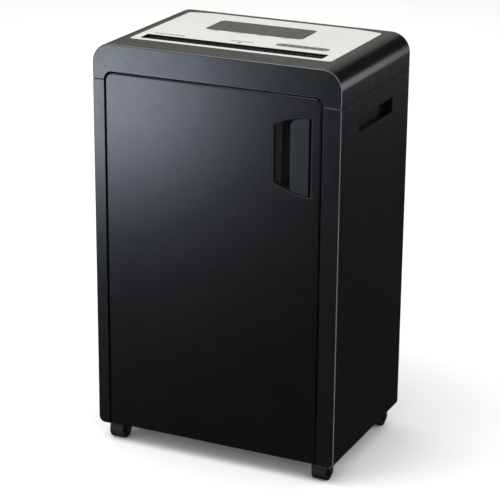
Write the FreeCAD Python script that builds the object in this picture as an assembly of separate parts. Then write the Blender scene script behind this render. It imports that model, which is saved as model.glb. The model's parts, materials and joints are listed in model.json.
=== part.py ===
import FreeCAD, Part
import math
import os

# Free-standing office paper shredder with a front door, a waste bin and four fixed rollers.
# Millimetres. X to the right, Y to the rear, Z up. Origin on the floor, under the middle of the cabinet.

Vec = FreeCAD.Vector

# --- overall cabinet ---
body_width = 410.0
body_depth = 275.0
body_height = 657.0
floor_gap = 30.0            # floor to the underside of the cabinet
hood_height = 56.0          # top of the hood down to the seam
shoulder_round = 31.0
bottom_round = 10.0
rim_round = 2.0             # rounding of the front and rear outer edges
seam_gap = 1.0
hood_wall = 3.5
lip_thick = 2.3
lip_drop = 6.0
lip_gap = 0.2
panel_wall = 3.0
column_depth = 28.0
left_column = 19.5
right_column = 29.0
rear_flange = 14.0

# --- door ---
door_gap = 2.0
door_corner = 12.0
door_edge_round = 2.5
door_skin = 3.0
door_above_seam = 11.5
liner_depth = 16.5
liner_wall = 2.5
liner_bottom = 20.0         # liner starts this far above the bottom edge of the door
liner_top = 6.5
door_lift = 2.0             # bottom edge of the door above the underside of the cabinet
hinge_in_x = 12.0           # hinge axis from the left edge of the door
hinge_in_y = 5.5            # hinge axis behind the front face
hinge_pin_r = 1.5
hinge_from_end = 24.0
leaf_thick = 3.0
leaf_eye_r = 2.2
leaf_arm = 4.0
leaf_arm_left = 0.4         # arm of the leaf, left of the hinge axis
liner_from_hinge = 6.0
knuckle_length = 6.5
door_clear = 0.5
running = 0.05              # radial clearance of a turning fit

# --- door handle ---
handle_width = 65.0
handle_from_edge = 13.0
handle_from_top = 27.5
handle_height = 126.0       # along its right edge
handle_drop = 17.0          # how much lower the top left corner is, and higher the bottom left corner
handle_bulge = 4.0
handle_corner = 4.0
cup_wall = 2.5
cup_rim = 5.0
scoop_depth = 21.5
scoop_radius = 35.5
paddle_left = 29.0          # paddle edge from the left edge of the handle
paddle_right = 6.0          # paddle edge from the right edge of the handle
paddle_thick = 3.8
paddle_gap = 1.0
paddle_corner_cut = 7.0
paddle_pin_r = 1.5
paddle_barrel_r = 3.2
paddle_pin_in = 9.0         # pin axis from the right edge of the handle
paddle_pin_deep = 6.0       # pin axis behind the front face
paddle_spring_length = 7.0
spring_wire = 0.8           # square wire
spring_turns = 4
spring_above = 9.0          # lower end of the spring above the bottom of the handle
spring_clear = 0.5

# --- top panel and paper slot ---
panel_left = 168.0
panel_right = 166.0
panel_front = 49.0          # from the front of the cabinet to the panel
panel_length = 205.0
panel_rise = 2.0            # how far the rear edge stands above the hood
panel_seat = 2.0
panel_ledge = 5.0
panel_corner = 6.0
panel_crease_in = 42.0      # rear end of the crease from the side of the panel
panel_clear = 0.3
slot_length = 302.0
slot_centre_x = -3.0
slot_width = 26.0
throat_gap = 7.0
throat_wall = 2.5
throat_depth = 29.0
window_width = 165.0
window_length = 65.0
window_centre_x = -9.0
window_from_slot = 82.0
window_corner = 8.0
window_thick = 1.8
window_sink = 0.2
slot_corner = 2.0
throat_lip = 9.0            # straight part at the foot of the funnel
board_gap = 8.0
board_thick = 1.6
board_margin = 2.0          # the control board reaches this far past the window
post_r = 3.0
post_in_x = 8.0             # board post from the side of the window
post_in_y = 6.0             # board post from the front or rear of the window
chip_size = 18.0
chip_from_front = 20.0
chip_thick = 1.6
plug_left = 20.0
plug_width = 26.0
plug_from_front = 50.0
plug_length = 8.0
plug_height = 6.0
lamp_pitch = 12.0
lamps_each_side = 3
lamp_from_front = 54.0
lamp_height = 3.5
lamp_r = 2.0
entry_sensor_width = 16.0
entry_sensor_length = 7.0
entry_sensor_height = 12.0
entry_sensor_drop = 18.0

# --- cutting unit ---
strip_width = 5.8
disc_side_gap = 0.5
roll_radius = 20.0
groove_depth = 5.0
roll_overlap = 4.0          # the discs of one roll reach this far past those of the other
end_land = 1.0              # bare core before the first disc
journal_proud = 2.0
roll_end_gap = 0.6
journal_r = 7.0
bearing_r = 11.0
bearing_proud = 1.0
side_plate = 5.0
side_plate_clear = 6.0      # from the end of the slot to the side plate
roll_drop = 57.0            # top of the hood to the roll axes
chassis_thick = 3.0
chassis_below_rolls = 61.0
chassis_flange = 16.0
plate_top = 40.0
plate_from_cup = 1.0        # from the back of the handle scoop to the side plates
plate_rear_short = 40.0
plate_corner = 6.0
plate_past_motor = 8.0
shaft_hole_clear = 6.0
comb_gap = 2.5
comb_thick = 6.0
comb_height = 20.0
comb_finger = 4.7
comb_finger_height = 4.0
comb_tip_gap = 1.5
comb_root = 0.5             # how far a finger runs into its bar
comb_from_liner = 5.5       # from the back of the door liner to the front comb
tie_rod_r = 5.0
tie_rod_drop = 46.0         # lower rods below the roll axes
tie_rod_rise = 32.0         # upper rod above the roll axes
tie_rod_front = 19.0
tie_rod_upper_front = 22.0
tie_rod_rear = 30.0
chassis_front_gap = 0.5
fold_thick = 2.0
chute_in = 5.0              # side of the chute inside the side plate
chute_front = 16.0
chute_rear = 23.0
stud_r = 3.0
bin_sensor_width = 20.0
bin_sensor_length = 14.0
bin_sensor_height = 9.0
bin_sensor_rear = 26.0

# --- gears: module, teeth ---
pressure_angle = math.radians(20.0)
gear_backlash = 0.35
addendum_share = 0.8
dedendum_share = 1.1
roll_gear_teeth = 18
slow_module = 1.5
drive_teeth = 60
slow_pinion_teeth = 14
fast_module = 1.25
fast_gear_teeth = 48
motor_pinion_teeth = 14
gear_width = 10.0
gear_gap = 1.5
fast_gear_width = 8.0
gear_pin_r = 4.0
web_holes = 6               # lightening holes in the drive gear
web_hole_at = 27.0
web_hole_r = 8.0
drive_gear_reach = 1.0      # small pinion past the drive gear
slow_offset_y = 52.0        # intermediate axis behind the rear roll
fast_offset_y = 36.0        # motor axis behind the intermediate axis
cover_thick = 3.0
cover_post_r = 4.0
cover_gap = 3.0
cover_front = 22.0
cover_rear = 28.0
cover_foot = 2.0
cover_above_plate = 4.0
cover_corner = 8.0
cover_post_in = 7.0

# --- motor ---
motor_radius = 40.0
motor_wall = 4.0
motor_length = 140.0
motor_cap = 8.0
shaft_r = 5.0
rotor_radius = 25.0
rotor_length = 90.0
stator_length = 80.0
air_gap = 0.5
fan_radius = 32.0
fan_length = 16.0
fan_blades = 8
fan_gap = 6.0               # from the fan to the motor
fan_disc_thick = 2.0
fan_hub_wall = 4.0
fan_blade_half = 0.8
shaft_past_fan = 2.0
shaft_past_pinion = 1.0
motor_vents = 12
motor_vent_at = 24.0
motor_vent_r = 4.0

# --- power electronics: places from the motor axis, the left wall or the rear ---
power_board_left = -146.0
power_board_right = -34.0
power_board_front = 26.0
power_board_rear = 56.0
stud_places_x = (-140.0, -40.0)
stud_front = 20.0
stud_rear = 50.0
coil_box = (-138.0, -104.0, 12.0, 44.0, 28.0)      # left, right, front, rear, height
relay_box = (-92.0, -76.0, 14.0, 34.0, 16.0)
relay_pitch = 24.0
socket_box = (-130.0, -110.0, 14.0, 6.0, 10.0)     # front and rear from the rear edge
socket_pitch = 30.0
capacitor_r = 14.0
capacitor_height = 62.0
capacitor_from_wall = 22.0
capacitor_from_rear = 36.5

# --- bin ---
bin_wall = 2.5
bin_corner = 14.0
bin_rim = 4.0
bin_rim_thick = 3.0
bin_side_gap = 20.0
bin_front_gap = 5.0
bin_rear_gap = 12.5
bin_top_gap = 28.0

# --- base, rollers ---
tray_thick = 4.0
tray_height = 18.0
wheel_radius = 15.7
wheel_width = 24.6
wheel_from_side = 14.8      # outer face of the roller from the side of the cabinet
wheel_from_end = 23.5       # roller axis from the front or the rear
wheel_clear = 1.5
wheel_edge_round = 1.5
wheel_recess = 1.5
wheel_rim = 4.0
wheel_hub = 3.0
axle_r = 3.0
cheek_thick = 2.0
cheek_gap = 0.8
cheek_half = 8.0
web_height = 12.0
bracket_start = 5.0         # from the roller axis to the mounting plate
bracket_length = 30.0       # from the roller axis to the far end of the plate

# --- side grips ---
grip_length = 135.0
grip_height = 24.0
grip_below_seam = 41.0      # seam to the middle of the grip
grip_depth = 14.0
grip_wall = 2.0
grip_corner = 6.0

# --- rear fittings ---
vent_count = 18
vent_pitch = 10.0
vent_width = 4.0
vent_height = 36.0
vent_from_side = 60.0
fitting_below_seam = 34.0
inlet_x = 120.0
inlet_width = 27.0
inlet_height = 20.0
inlet_flange = 4.0
inlet_depth = 25.0
inlet_side_wall = 1.5
inlet_end_wall = 2.0
inlet_well = 16.0
inlet_chamfer = 4.0
inlet_corner = 3.0
flange_thick = 2.0
inlet_pins = ((-7.0, -1.0), (0.0, 3.0), (7.0, -1.0))
pin_half_width = 1.0
pin_half_height = 2.0
pin_root = 17.0             # blade pins, from the rear face
pin_tip = 4.0
switch_x = 78.0
switch_width = 13.0
switch_height = 20.0
switch_depth = 20.0
switch_flange = 2.0
switch_wall = 1.5
switch_well = 12.0
rocker_axis = 6.5           # from the rear face to the rocker axis
rocker_pin_r = 1.0
rocker_pin_reach = 1.2
rocker_side_gap = 0.4
rocker_end_gap = 1.1
screw_r = 1.75
screw_head_r = 3.5
screw_head = 1.8
screw_length = 10.0
screw_from_end = 20.0
recess_half_length = 1.9
recess_half_width = 0.4
recess_depth = 1.2

# --- derived places ---
front_y = -body_depth / 2
rear_y = body_depth / 2
half_width = body_width / 2
inner_x = half_width - panel_wall
inner_rear = rear_y - panel_wall
seam_z = body_height - hood_height
hood_bottom = seam_z + seam_gap / 2
panel_top_z = seam_z - seam_gap / 2
door_left = -half_width + left_column + door_gap
door_right = half_width - right_column - door_gap
door_top = seam_z + door_above_seam
skin_back = front_y + door_skin
liner_back = skin_back + liner_depth
column_back = front_y + column_depth
hinge_x = door_left + hinge_in_x
hinge_y = front_y + hinge_in_y
liner_left = hinge_x + liner_from_hinge
liner_right = door_right - 6.0
handle_right = door_right - handle_from_edge
handle_left = handle_right - handle_width
handle_top = door_top - handle_from_top
handle_bottom = handle_top - handle_height
paddle_pin_x = handle_right - paddle_pin_in
paddle_pin_y = front_y + paddle_pin_deep
roll_distance = 2 * roll_radius - roll_overlap
# the slot lies over the middle of the rolls, which clear the door liner
slot_y = liner_back + comb_from_liner + comb_thick + comb_gap + roll_radius + roll_distance / 2
slot_left = slot_centre_x - slot_length / 2
slot_right = slot_centre_x + slot_length / 2
top_panel_front = front_y + panel_front
top_panel_rear = top_panel_front + panel_length
seat_z = body_height - panel_seat
roll_z = body_height - roll_drop
front_roll_y = slot_y - roll_distance / 2
rear_roll_y = slot_y + roll_distance / 2
roll_start = slot_left - side_plate_clear + bearing_proud + roll_end_gap
roll_stop = slot_right + side_plate_clear - bearing_proud - roll_end_gap
plate_left_x = slot_left - side_plate_clear
plate_right_x = slot_right + side_plate_clear
chassis_top = roll_z - chassis_below_rolls
chassis_bottom = chassis_top - chassis_thick
plate_front_y = front_y + scoop_depth + cup_wall + plate_from_cup
tray_top = floor_gap + tray_height
tray_front = column_back
wheel_x = half_width - wheel_from_side - wheel_width / 2
wheel_y = rear_y - wheel_from_end
fitting_z = seam_z - fitting_below_seam
grip_z = seam_z - grip_below_seam
cover_x = plate_right_x + side_plate + 2 * gear_width + 2 * gear_gap + cover_gap
drive_gear_x = plate_right_x + side_plate + gear_width + 2 * gear_gap
roll_gear_x = plate_right_x + side_plate + gear_gap
fast_gear_x = roll_gear_x + 0.5
slow_distance = slow_module * (drive_teeth + slow_pinion_teeth) / 2
fast_distance = fast_module * (fast_gear_teeth + motor_pinion_teeth) / 2
idler_y = rear_roll_y + slow_offset_y
idler_z = roll_z - math.sqrt(slow_distance ** 2 - slow_offset_y ** 2)
motor_y = idler_y + fast_offset_y
motor_z = idler_z + math.sqrt(fast_distance ** 2 - fast_offset_y ** 2)
motor_left = plate_right_x - motor_length


# --- small helpers ---
def box(x0, x1, y0, y1, z0, z1):
    return Part.makeBox(x1 - x0, y1 - y0, z1 - z0, Vec(x0, y0, z0))


def rod_x(x0, x1, y, z, radius):
    return Part.makeCylinder(radius, x1 - x0, Vec(x0, y, z), Vec(1, 0, 0))


def rod_y(x, y0, y1, z, radius):
    return Part.makeCylinder(radius, y1 - y0, Vec(x, y0, z), Vec(0, 1, 0))


def rod_z(x, y, z0, z1, radius):
    return Part.makeCylinder(radius, z1 - z0, Vec(x, y, z0), Vec(0, 0, 1))


def edges_along(shape, direction):
    """Straight edges parallel to a direction."""
    found = []
    for edge in shape.Edges:
        if isinstance(edge.Curve, Part.Line) and abs(edge.Curve.Direction.dot(direction)) > 0.999:
            found.append(edge)
    return found


def edges_at(shape, axis, value):
    """Edges that lie wholly in the plane where one coordinate has a value."""
    found = []
    for edge in shape.Edges:
        limits = edge.BoundBox
        low = {"y": limits.YMin, "z": limits.ZMin}[axis]
        high = {"y": limits.YMax, "z": limits.ZMax}[axis]
        if abs(low - value) < 1e-4 and abs(high - value) < 1e-4:
            found.append(edge)
    return found


def rounded_box(x0, x1, y0, y1, z0, z1, direction, radius):
    block = box(x0, x1, y0, y1, z0, z1)
    return block.makeFillet(radius, edges_along(block, direction))


def polygon_z(points, z0, z1):
    corners = [Vec(x, y, z0) for x, y in points]
    face = Part.Face(Part.makePolygon(corners + corners[:1]))
    return face.extrude(Vec(0, 0, z1 - z0))


def fuse(pieces):
    whole = pieces[0].multiFuse(pieces[1:])
    return whole.removeSplitter()


def save(name, shape):
    shape.exportStep("parts/" + name + ".step")


# --- cabinet ---
def envelope():
    """Outer form of the cabinet, with its rounded shoulders, bottom corners and rims."""
    block = box(-half_width, half_width, front_y, rear_y, floor_gap, body_height)
    top = [e for e in edges_along(block, Vec(0, 1, 0)) if e.BoundBox.ZMin > seam_z]
    block = block.makeFillet(shoulder_round, top)
    bottom = [e for e in edges_along(block, Vec(0, 1, 0)) if e.BoundBox.ZMax < floor_gap + 1]
    block = block.makeFillet(bottom_round, bottom)
    return block.makeFillet(rim_round, edges_at(block, "y", front_y) + edges_at(block, "y", rear_y))


def door_opening(grow, y0, y1):
    """Prism of the door outline, larger all round by a gap."""
    low = floor_gap + door_lift - grow
    block = box(door_left - grow, door_right + grow, y0, y1, low, door_top + grow)
    top = [e for e in edges_along(block, Vec(0, 1, 0)) if e.BoundBox.ZMin > seam_z]
    return block.makeFillet(door_corner + grow, top)


def top_panel_outline(grow, z0, z1):
    return rounded_box(-panel_left - grow, panel_right + grow, top_panel_front - grow,
                       top_panel_rear + grow, z0, z1, Vec(0, 0, 1), panel_corner)


def hood(form):
    outer = form.common(box(-half_width, half_width, front_y, rear_y, hood_bottom, body_height))
    inside_x = half_width - hood_wall
    inside_y = rear_y - hood_wall
    hollow = box(-inside_x, inside_x, -inside_y, inside_y, hood_bottom - 1, body_height - hood_wall)
    top = [e for e in edges_along(hollow, Vec(0, 1, 0)) if e.BoundBox.ZMin > seam_z]
    hollow = hollow.makeFillet(shoulder_round - hood_wall, top)
    shell = outer.cut(hollow)
    shell = shell.cut(door_opening(door_gap, front_y - 1, front_y + hood_wall))
    shell = shell.cut(top_panel_outline(panel_clear, seat_z, body_height + 1))
    shell = shell.cut(top_panel_outline(-panel_ledge, seat_z - hood_wall, body_height))
    lip_x = inner_x - lip_gap
    lip_rear = inner_rear - lip_gap
    # a lip hangs from the hood behind the seam, on the sides and the rear
    lip_low = seam_z - lip_drop
    lip_high = hood_bottom + lip_drop
    lip_front = column_back + lip_thick
    lip_end = lip_rear - panel_wall
    rear_x = inner_x - rear_flange - lip_thick
    side = box(lip_x - lip_thick, lip_x, lip_front, lip_end, lip_low, lip_high)
    side = side.fuse(box(lip_x - lip_thick, half_width - 1, lip_front, lip_end, hood_bottom, lip_high))
    rear = box(-rear_x, rear_x, lip_rear - lip_thick, lip_rear, lip_low, lip_high)
    rear = rear.fuse(box(-rear_x, rear_x, lip_rear - lip_thick, rear_y - 1, hood_bottom, lip_high))
    return fuse([shell, side, side.mirror(Vec(0, 0, 0), Vec(1, 0, 0)), rear])


def wheel_space(side, end, clear_x, z1):
    """Free space round one roller."""
    half = wheel_width / 2 + clear_x
    reach = wheel_radius + wheel_clear
    return box(side * wheel_x - half, side * wheel_x + half, end * wheel_y - reach,
               end * wheel_y + reach, -1, z1)


def side_panel(form, side, column):
    """Side wall with the front column folded back on itself and a rear flange."""
    points = [(half_width, front_y),
              (half_width - column, front_y),
              (half_width - column, column_back),
              (half_width - column + panel_wall, column_back),
              (half_width - column + panel_wall, front_y + panel_wall),
              (inner_x, front_y + panel_wall),
              (inner_x, inner_rear - panel_wall),
              (inner_x - rear_flange, inner_rear - panel_wall),
              (inner_x - rear_flange, inner_rear),
              (inner_x, inner_rear),
              (inner_x, rear_y),
              (half_width, rear_y)]
    wall = polygon_z([(side * x, y) for x, y in points], floor_gap, panel_top_z)
    wall = wall.common(form)
    wall = wall.cut(grip_opening(side))
    for end in (-1, 1):
        wall = wall.cut(wheel_space(side, end, wheel_clear, 2 * wheel_radius + wheel_clear))
    for z in rear_screw_heights():
        wall = wall.cut(rod_y(side * rear_screw_x(), inner_rear - panel_wall - 1, inner_rear + 1,
                              z, screw_r))
    return wall


def grip_opening(side):
    x0 = half_width - grip_depth
    x1 = half_width + 1
    block = rounded_box(x0, x1, -grip_length / 2, grip_length / 2, grip_z - grip_height / 2,
                        grip_z + grip_height / 2, Vec(1, 0, 0), grip_corner)
    if side < 0:
        block = block.mirror(Vec(0, 0, 0), Vec(1, 0, 0))
    return block


def grip_cup(side):
    """Shallow cup behind the opening of a side grip."""
    x0 = half_width - grip_depth - grip_wall
    block = rounded_box(x0, inner_x, -grip_length / 2 - grip_wall, grip_length / 2 + grip_wall,
                        grip_z - grip_height / 2 - grip_wall, grip_z + grip_height / 2 + grip_wall,
                        Vec(1, 0, 0), grip_corner + grip_wall)
    if side < 0:
        block = block.mirror(Vec(0, 0, 0), Vec(1, 0, 0))
    return block.cut(grip_opening(side))


def rear_screw_x():
    return inner_x - rear_flange / 2


def rear_screw_heights():
    return [tray_top + screw_from_end, (tray_top + panel_top_z) / 2, panel_top_z - screw_from_end]


def rear_panel(form):
    panel = box(-inner_x, inner_x, inner_rear, rear_y, floor_gap, panel_top_z).common(form)
    first = -inner_x + vent_from_side
    for row in range(vent_count):
        x = first + row * vent_pitch
        panel = panel.cut(rounded_box(x, x + vent_width, inner_rear - 1, rear_y + 1,
                                      fitting_z - vent_height / 2, fitting_z + vent_height / 2,
                                      Vec(0, 1, 0), vent_width / 2 - 0.01))
    panel = panel.cut(inlet_body()).cut(switch_body())
    return panel.cut(fuse_list(rear_screw_shapes()))


def fuse_list(shapes):
    return shapes[0].multiFuse(shapes[1:])


def rear_screw_shapes():
    """Countersunk screws, flush with the rear face."""
    screws = []
    for side in (-1, 1):
        for z in rear_screw_heights():
            x = side * rear_screw_x()
            head = Part.makeCone(screw_r, screw_head_r, screw_head, Vec(x, rear_y - screw_head, z),
                                 Vec(0, 1, 0))
            shank = rod_y(x, rear_y - screw_length, rear_y - screw_head, z, screw_r)
            screws.append(head.fuse(shank))
    return screws


def rear_screws():
    """The same screws with a cross recess in each head."""
    recess = []
    for side in (-1, 1):
        for z in rear_screw_heights():
            x = side * rear_screw_x()
            sizes = (recess_half_length, recess_half_width)
            for wide, tall in (sizes, sizes[::-1]):
                recess.append(box(x - wide, x + wide, rear_y - recess_depth, rear_y + 1, z - tall, z + tall))
    return Part.makeCompound([s.cut(fuse_list(recess)) for s in rear_screw_shapes()])


def base_tray(form):
    """Base moulding: a floor for the bin with a skirt and four roller wells."""
    tray = box(-inner_x, inner_x, tray_front, inner_rear - panel_wall, floor_gap, tray_top)
    tray = tray.common(form)
    tray = tray.cut(box(-inner_x + panel_wall, inner_x - panel_wall, tray_front + panel_wall,
                        inner_rear - 2 * panel_wall, floor_gap - 1, tray_top - tray_thick))
    well = cheek_gap + cheek_thick + wheel_clear
    for side in (-1, 1):
        for end in (-1, 1):
            tray = tray.cut(wheel_space(side, end, well, tray_top - tray_thick))
    return tray


# --- top panel ---
def panel_slab(depth0, depth1):
    """Slab that follows the sloping top plane between two depths below it."""
    y0 = top_panel_front
    y1 = top_panel_rear
    low = body_height
    high = body_height + panel_rise
    corners = [Vec(-half_width, y0, low - depth0), Vec(-half_width, y1, high - depth0),
               Vec(-half_width, y1, high - depth1), Vec(-half_width, y0, low - depth1)]
    face = Part.Face(Part.makePolygon(corners + corners[:1]))
    return face.extrude(Vec(body_width, 0, 0))


def window_block(grow, z0, z1):
    y0 = slot_y + window_from_slot
    return rounded_box(window_centre_x - window_width / 2 - grow,
                       window_centre_x + window_width / 2 + grow, y0 - grow,
                       y0 + window_length + grow, z0, z1, Vec(0, 0, 1), window_corner + grow)


def panel_wedge():
    """Top panel: flush at the front, raised at the rear, with a sloping facet on each side."""
    x0 = -panel_left
    x1 = panel_right
    y0 = top_panel_front
    y1 = top_panel_rear
    low = seat_z
    edge = body_height
    crest = body_height + panel_rise
    bottom = [Vec(x0, y0, low), Vec(x1, y0, low), Vec(x1, y1, low), Vec(x0, y1, low)]
    rim = [Vec(x0, y0, edge), Vec(x1, y0, edge), Vec(x1, y1, edge), Vec(x0, y1, edge)]
    ridge = [Vec(x0 + panel_crease_in, y1, crest), Vec(x1 - panel_crease_in, y1, crest)]
    loops = [bottom[::-1],
             [bottom[0], bottom[1], rim[1], rim[0]],
             [bottom[1], bottom[2], rim[2], rim[1]],
             [bottom[3], bottom[0], rim[0], rim[3]],
             [bottom[2], bottom[3], rim[3], ridge[0], ridge[1], rim[2]],
             [rim[0], rim[1], ridge[1], ridge[0]],
             [rim[1], rim[2], ridge[1]],
             [rim[3], rim[0], ridge[0]]]
    faces = [Part.Face(Part.makePolygon(loop + loop[:1])) for loop in loops]
    return Part.Solid(Part.Shell(faces))


def board_post_places():
    y0 = slot_y + window_from_slot
    return [(window_centre_x + sx * (window_width / 2 - post_in_x), y) for sx in (-1, 1)
            for y in (y0 + post_in_y, y0 + window_length - post_in_y)]


def top_panel():
    panel = panel_wedge().common(top_panel_outline(0, seat_z - 1, body_height + panel_rise + 1))
    slot = rounded_box(slot_left, slot_right, slot_y - slot_width / 2, slot_y + slot_width / 2,
                       seat_z - 1, body_height + panel_rise, Vec(0, 0, 1), slot_corner)
    panel = panel.cut(slot)
    pocket = window_block(panel_clear, seat_z, body_height + panel_rise + 1)
    pocket = pocket.common(panel_slab(-panel_rise, window_sink + window_thick))
    panel = panel.cut(pocket)
    posts = [rod_z(x, y, seat_z - board_gap, seat_z, post_r) for x, y in board_post_places()]
    return fuse([panel] + posts)


def display_window():
    block = window_block(0, seat_z, body_height + panel_rise + 1)
    return block.common(panel_slab(window_sink, window_sink + window_thick))


def control_board():
    y0 = slot_y + window_from_slot
    top = seat_z - board_gap
    left = window_centre_x - window_width / 2
    board = box(left, left + window_width, y0 - board_margin, y0 + window_length + board_margin,
                top - board_thick, top)
    chip_y = y0 + chip_from_front
    chip = box(window_centre_x - chip_size / 2, window_centre_x + chip_size / 2, chip_y,
               chip_y + chip_size, top, top + chip_thick)
    plug_y = y0 + plug_from_front
    plug = box(left + plug_left, left + plug_left + plug_width, plug_y, plug_y + plug_length,
               top - board_thick - plug_height, top - board_thick)
    lamps = [rod_z(window_centre_x + k * lamp_pitch, y0 + lamp_from_front, top, top + lamp_height, lamp_r)
             for k in range(-lamps_each_side, lamps_each_side + 1)]
    return fuse([board, chip, plug] + lamps)


def paper_throat():
    """Funnel under the slot that leads the paper to the rolls."""
    half = slot_width / 2 + throat_wall
    z0 = seat_z - throat_depth
    body = box(slot_left - throat_wall, slot_right + throat_wall, slot_y - half, slot_y + half, z0, seat_z)
    wide = slot_width / 2
    narrow = throat_gap / 2
    corners = [Vec(slot_left, slot_y - wide, seat_z + 1), Vec(slot_left, slot_y + wide, seat_z + 1),
               Vec(slot_left, slot_y + narrow, z0 + throat_lip), Vec(slot_left, slot_y + narrow, z0 - 1),
               Vec(slot_left, slot_y - narrow, z0 - 1), Vec(slot_left, slot_y - narrow, z0 + throat_lip)]
    funnel = Part.Face(Part.makePolygon(corners + corners[:1])).extrude(Vec(slot_length, 0, 0))
    relief = half - narrow - throat_wall
    body = body.cut(box(slot_left - throat_wall - 1, slot_right + throat_wall + 1, slot_y - half - 1,
                        slot_y - half + relief, z0 - 1, z0 + throat_lip))
    body = body.cut(box(slot_left - throat_wall - 1, slot_right + throat_wall + 1,
                        slot_y + half - relief, slot_y + half + 1, z0 - 1, z0 + throat_lip))
    return body.cut(funnel)


def entry_sensor():
    y0 = slot_y + slot_width / 2 + throat_wall
    z0 = seat_z - entry_sensor_drop
    return box(slot_centre_x - entry_sensor_width / 2, slot_centre_x + entry_sensor_width / 2, y0,
               y0 + entry_sensor_length, z0, z0 + entry_sensor_height)


# --- cutting unit ---
def roll_profile(x0, discs, start_with_disc):
    """Half section of a roll: discs and grooves in turn, with a journal at each end."""
    pitch = 2 * strip_width
    disc = strip_width - disc_side_gap
    core = roll_radius - groove_depth
    points = [(x0, core)]
    for index in range(discs):
        left = x0 + end_land + index * pitch + (0 if start_with_disc else strip_width)
        points += [(left, core), (left, roll_radius), (left + disc, roll_radius), (left + disc, core)]
    return points


def disc_count():
    return int((roll_stop - roll_start - 2 * end_land) // (2 * strip_width))


def cutter_roll(y, start_with_disc, right_end):
    x0 = roll_start
    x1 = roll_stop
    discs = disc_count()
    left_end = plate_left_x - side_plate - bearing_proud - journal_proud
    outline = [(left_end, 0), (left_end, journal_r), (x0, journal_r)]
    outline += roll_profile(x0, discs, start_with_disc)
    outline += [(x1, roll_radius - groove_depth), (x1, journal_r), (right_end, journal_r), (right_end, 0)]
    corners = [Vec(x, y + r, roll_z) for x, r in outline]
    face = Part.Face(Part.makePolygon(corners + corners[:1]))
    return face.revolve(Vec(0, y, roll_z), Vec(1, 0, 0), 360)


def comb(y, toward, first_is_disc):
    """Stripper bar with fingers that reach into the grooves of a roll."""
    x0 = plate_left_x
    x1 = plate_right_x
    near = roll_radius + comb_gap
    far = near + comb_thick
    low = min(y + toward * near, y + toward * far)
    bar = box(x0, x1, low, low + comb_thick, roll_z - comb_height / 2, roll_z + comb_height / 2)
    pitch = 2 * strip_width
    groove_start = roll_start + end_land + (strip_width if first_is_disc else 0) - disc_side_gap
    inset = (strip_width + disc_side_gap - comb_finger) / 2
    tip = roll_radius - groove_depth + comb_tip_gap
    edge = near + comb_root
    pieces = [bar]
    for index in range(1, disc_count()):
        x = groove_start + index * pitch + inset
        y0 = min(y + toward * tip, y + toward * edge)
        pieces.append(box(x, x + comb_finger, y0, y0 + edge - tip, roll_z - comb_finger_height / 2,
                          roll_z + comb_finger_height / 2))
    return fuse(pieces)


def tie_rod_places():
    return [(front_roll_y - tie_rod_front, roll_z - tie_rod_drop),
            (front_roll_y - tie_rod_upper_front, roll_z + tie_rod_rise),
            (rear_roll_y + tie_rod_rear, roll_z - tie_rod_drop)]


def tie_rods():
    return Part.makeCompound([rod_x(plate_left_x, plate_right_x, y, z, tie_rod_r)
                              for y, z in tie_rod_places()])


def bearing_places():
    return [(x, y) for x in (plate_left_x - side_plate, plate_right_x) for y in (front_roll_y, rear_roll_y)]


def roll_bearings():
    rings = []
    for x, y in bearing_places():
        ring = rod_x(x - bearing_proud, x + side_plate + bearing_proud, y, roll_z, bearing_r)
        rings.append(ring.cut(rod_x(x - 3, x + side_plate + 3, y, roll_z, journal_r + running)))
    return Part.makeCompound(rings)


def cutter_plate(x0, rear):
    """Side plate that carries the bearings of the rolls."""
    plate = rounded_box(x0, x0 + side_plate, plate_front_y, rear, chassis_top, roll_z + plate_top,
                        Vec(1, 0, 0), plate_corner)
    for y in (front_roll_y, rear_roll_y):
        plate = plate.cut(rod_x(x0 - 1, x0 + side_plate + 1, y, roll_z, bearing_r))
    return plate


def cutter_plate_right():
    plate = cutter_plate(plate_right_x, motor_y + motor_radius + plate_past_motor)
    plate = plate.cut(rod_x(plate_right_x - 1, plate_right_x + side_plate + 1, motor_y, motor_z,
                            shaft_r + shaft_hole_clear))
    return plate.cut(rod_x(plate_right_x - 1, plate_right_x + side_plate + 1, idler_y, idler_z, gear_pin_r))


def chassis_plate():
    """Folded steel plate under the cutting unit, with the chute the shreds fall through."""
    y0 = column_back + chassis_front_gap
    y1 = inner_rear - panel_wall
    plate = box(-inner_x, inner_x, y0, y1, chassis_bottom, chassis_top)
    chute = box(plate_left_x + chute_in, plate_right_x - chute_in, front_roll_y - chute_front,
                rear_roll_y + chute_rear, chassis_bottom - 1, chassis_top + 1)
    low = chassis_bottom - chassis_flange
    folds = [box(-inner_x, inner_x, y0, y0 + fold_thick, low, chassis_bottom),
             box(-inner_x, -inner_x + fold_thick, y0, y1, low, chassis_bottom),
             box(inner_x - fold_thick, inner_x, y0, y1, low, chassis_bottom)]
    studs = [rod_z(x, y, chassis_top, chassis_top + board_gap, stud_r) for x, y in power_board_studs()]
    return fuse([plate.cut(chute)] + folds + studs)


# --- gears ---
def involute(angle):
    return math.tan(angle) - angle


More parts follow.
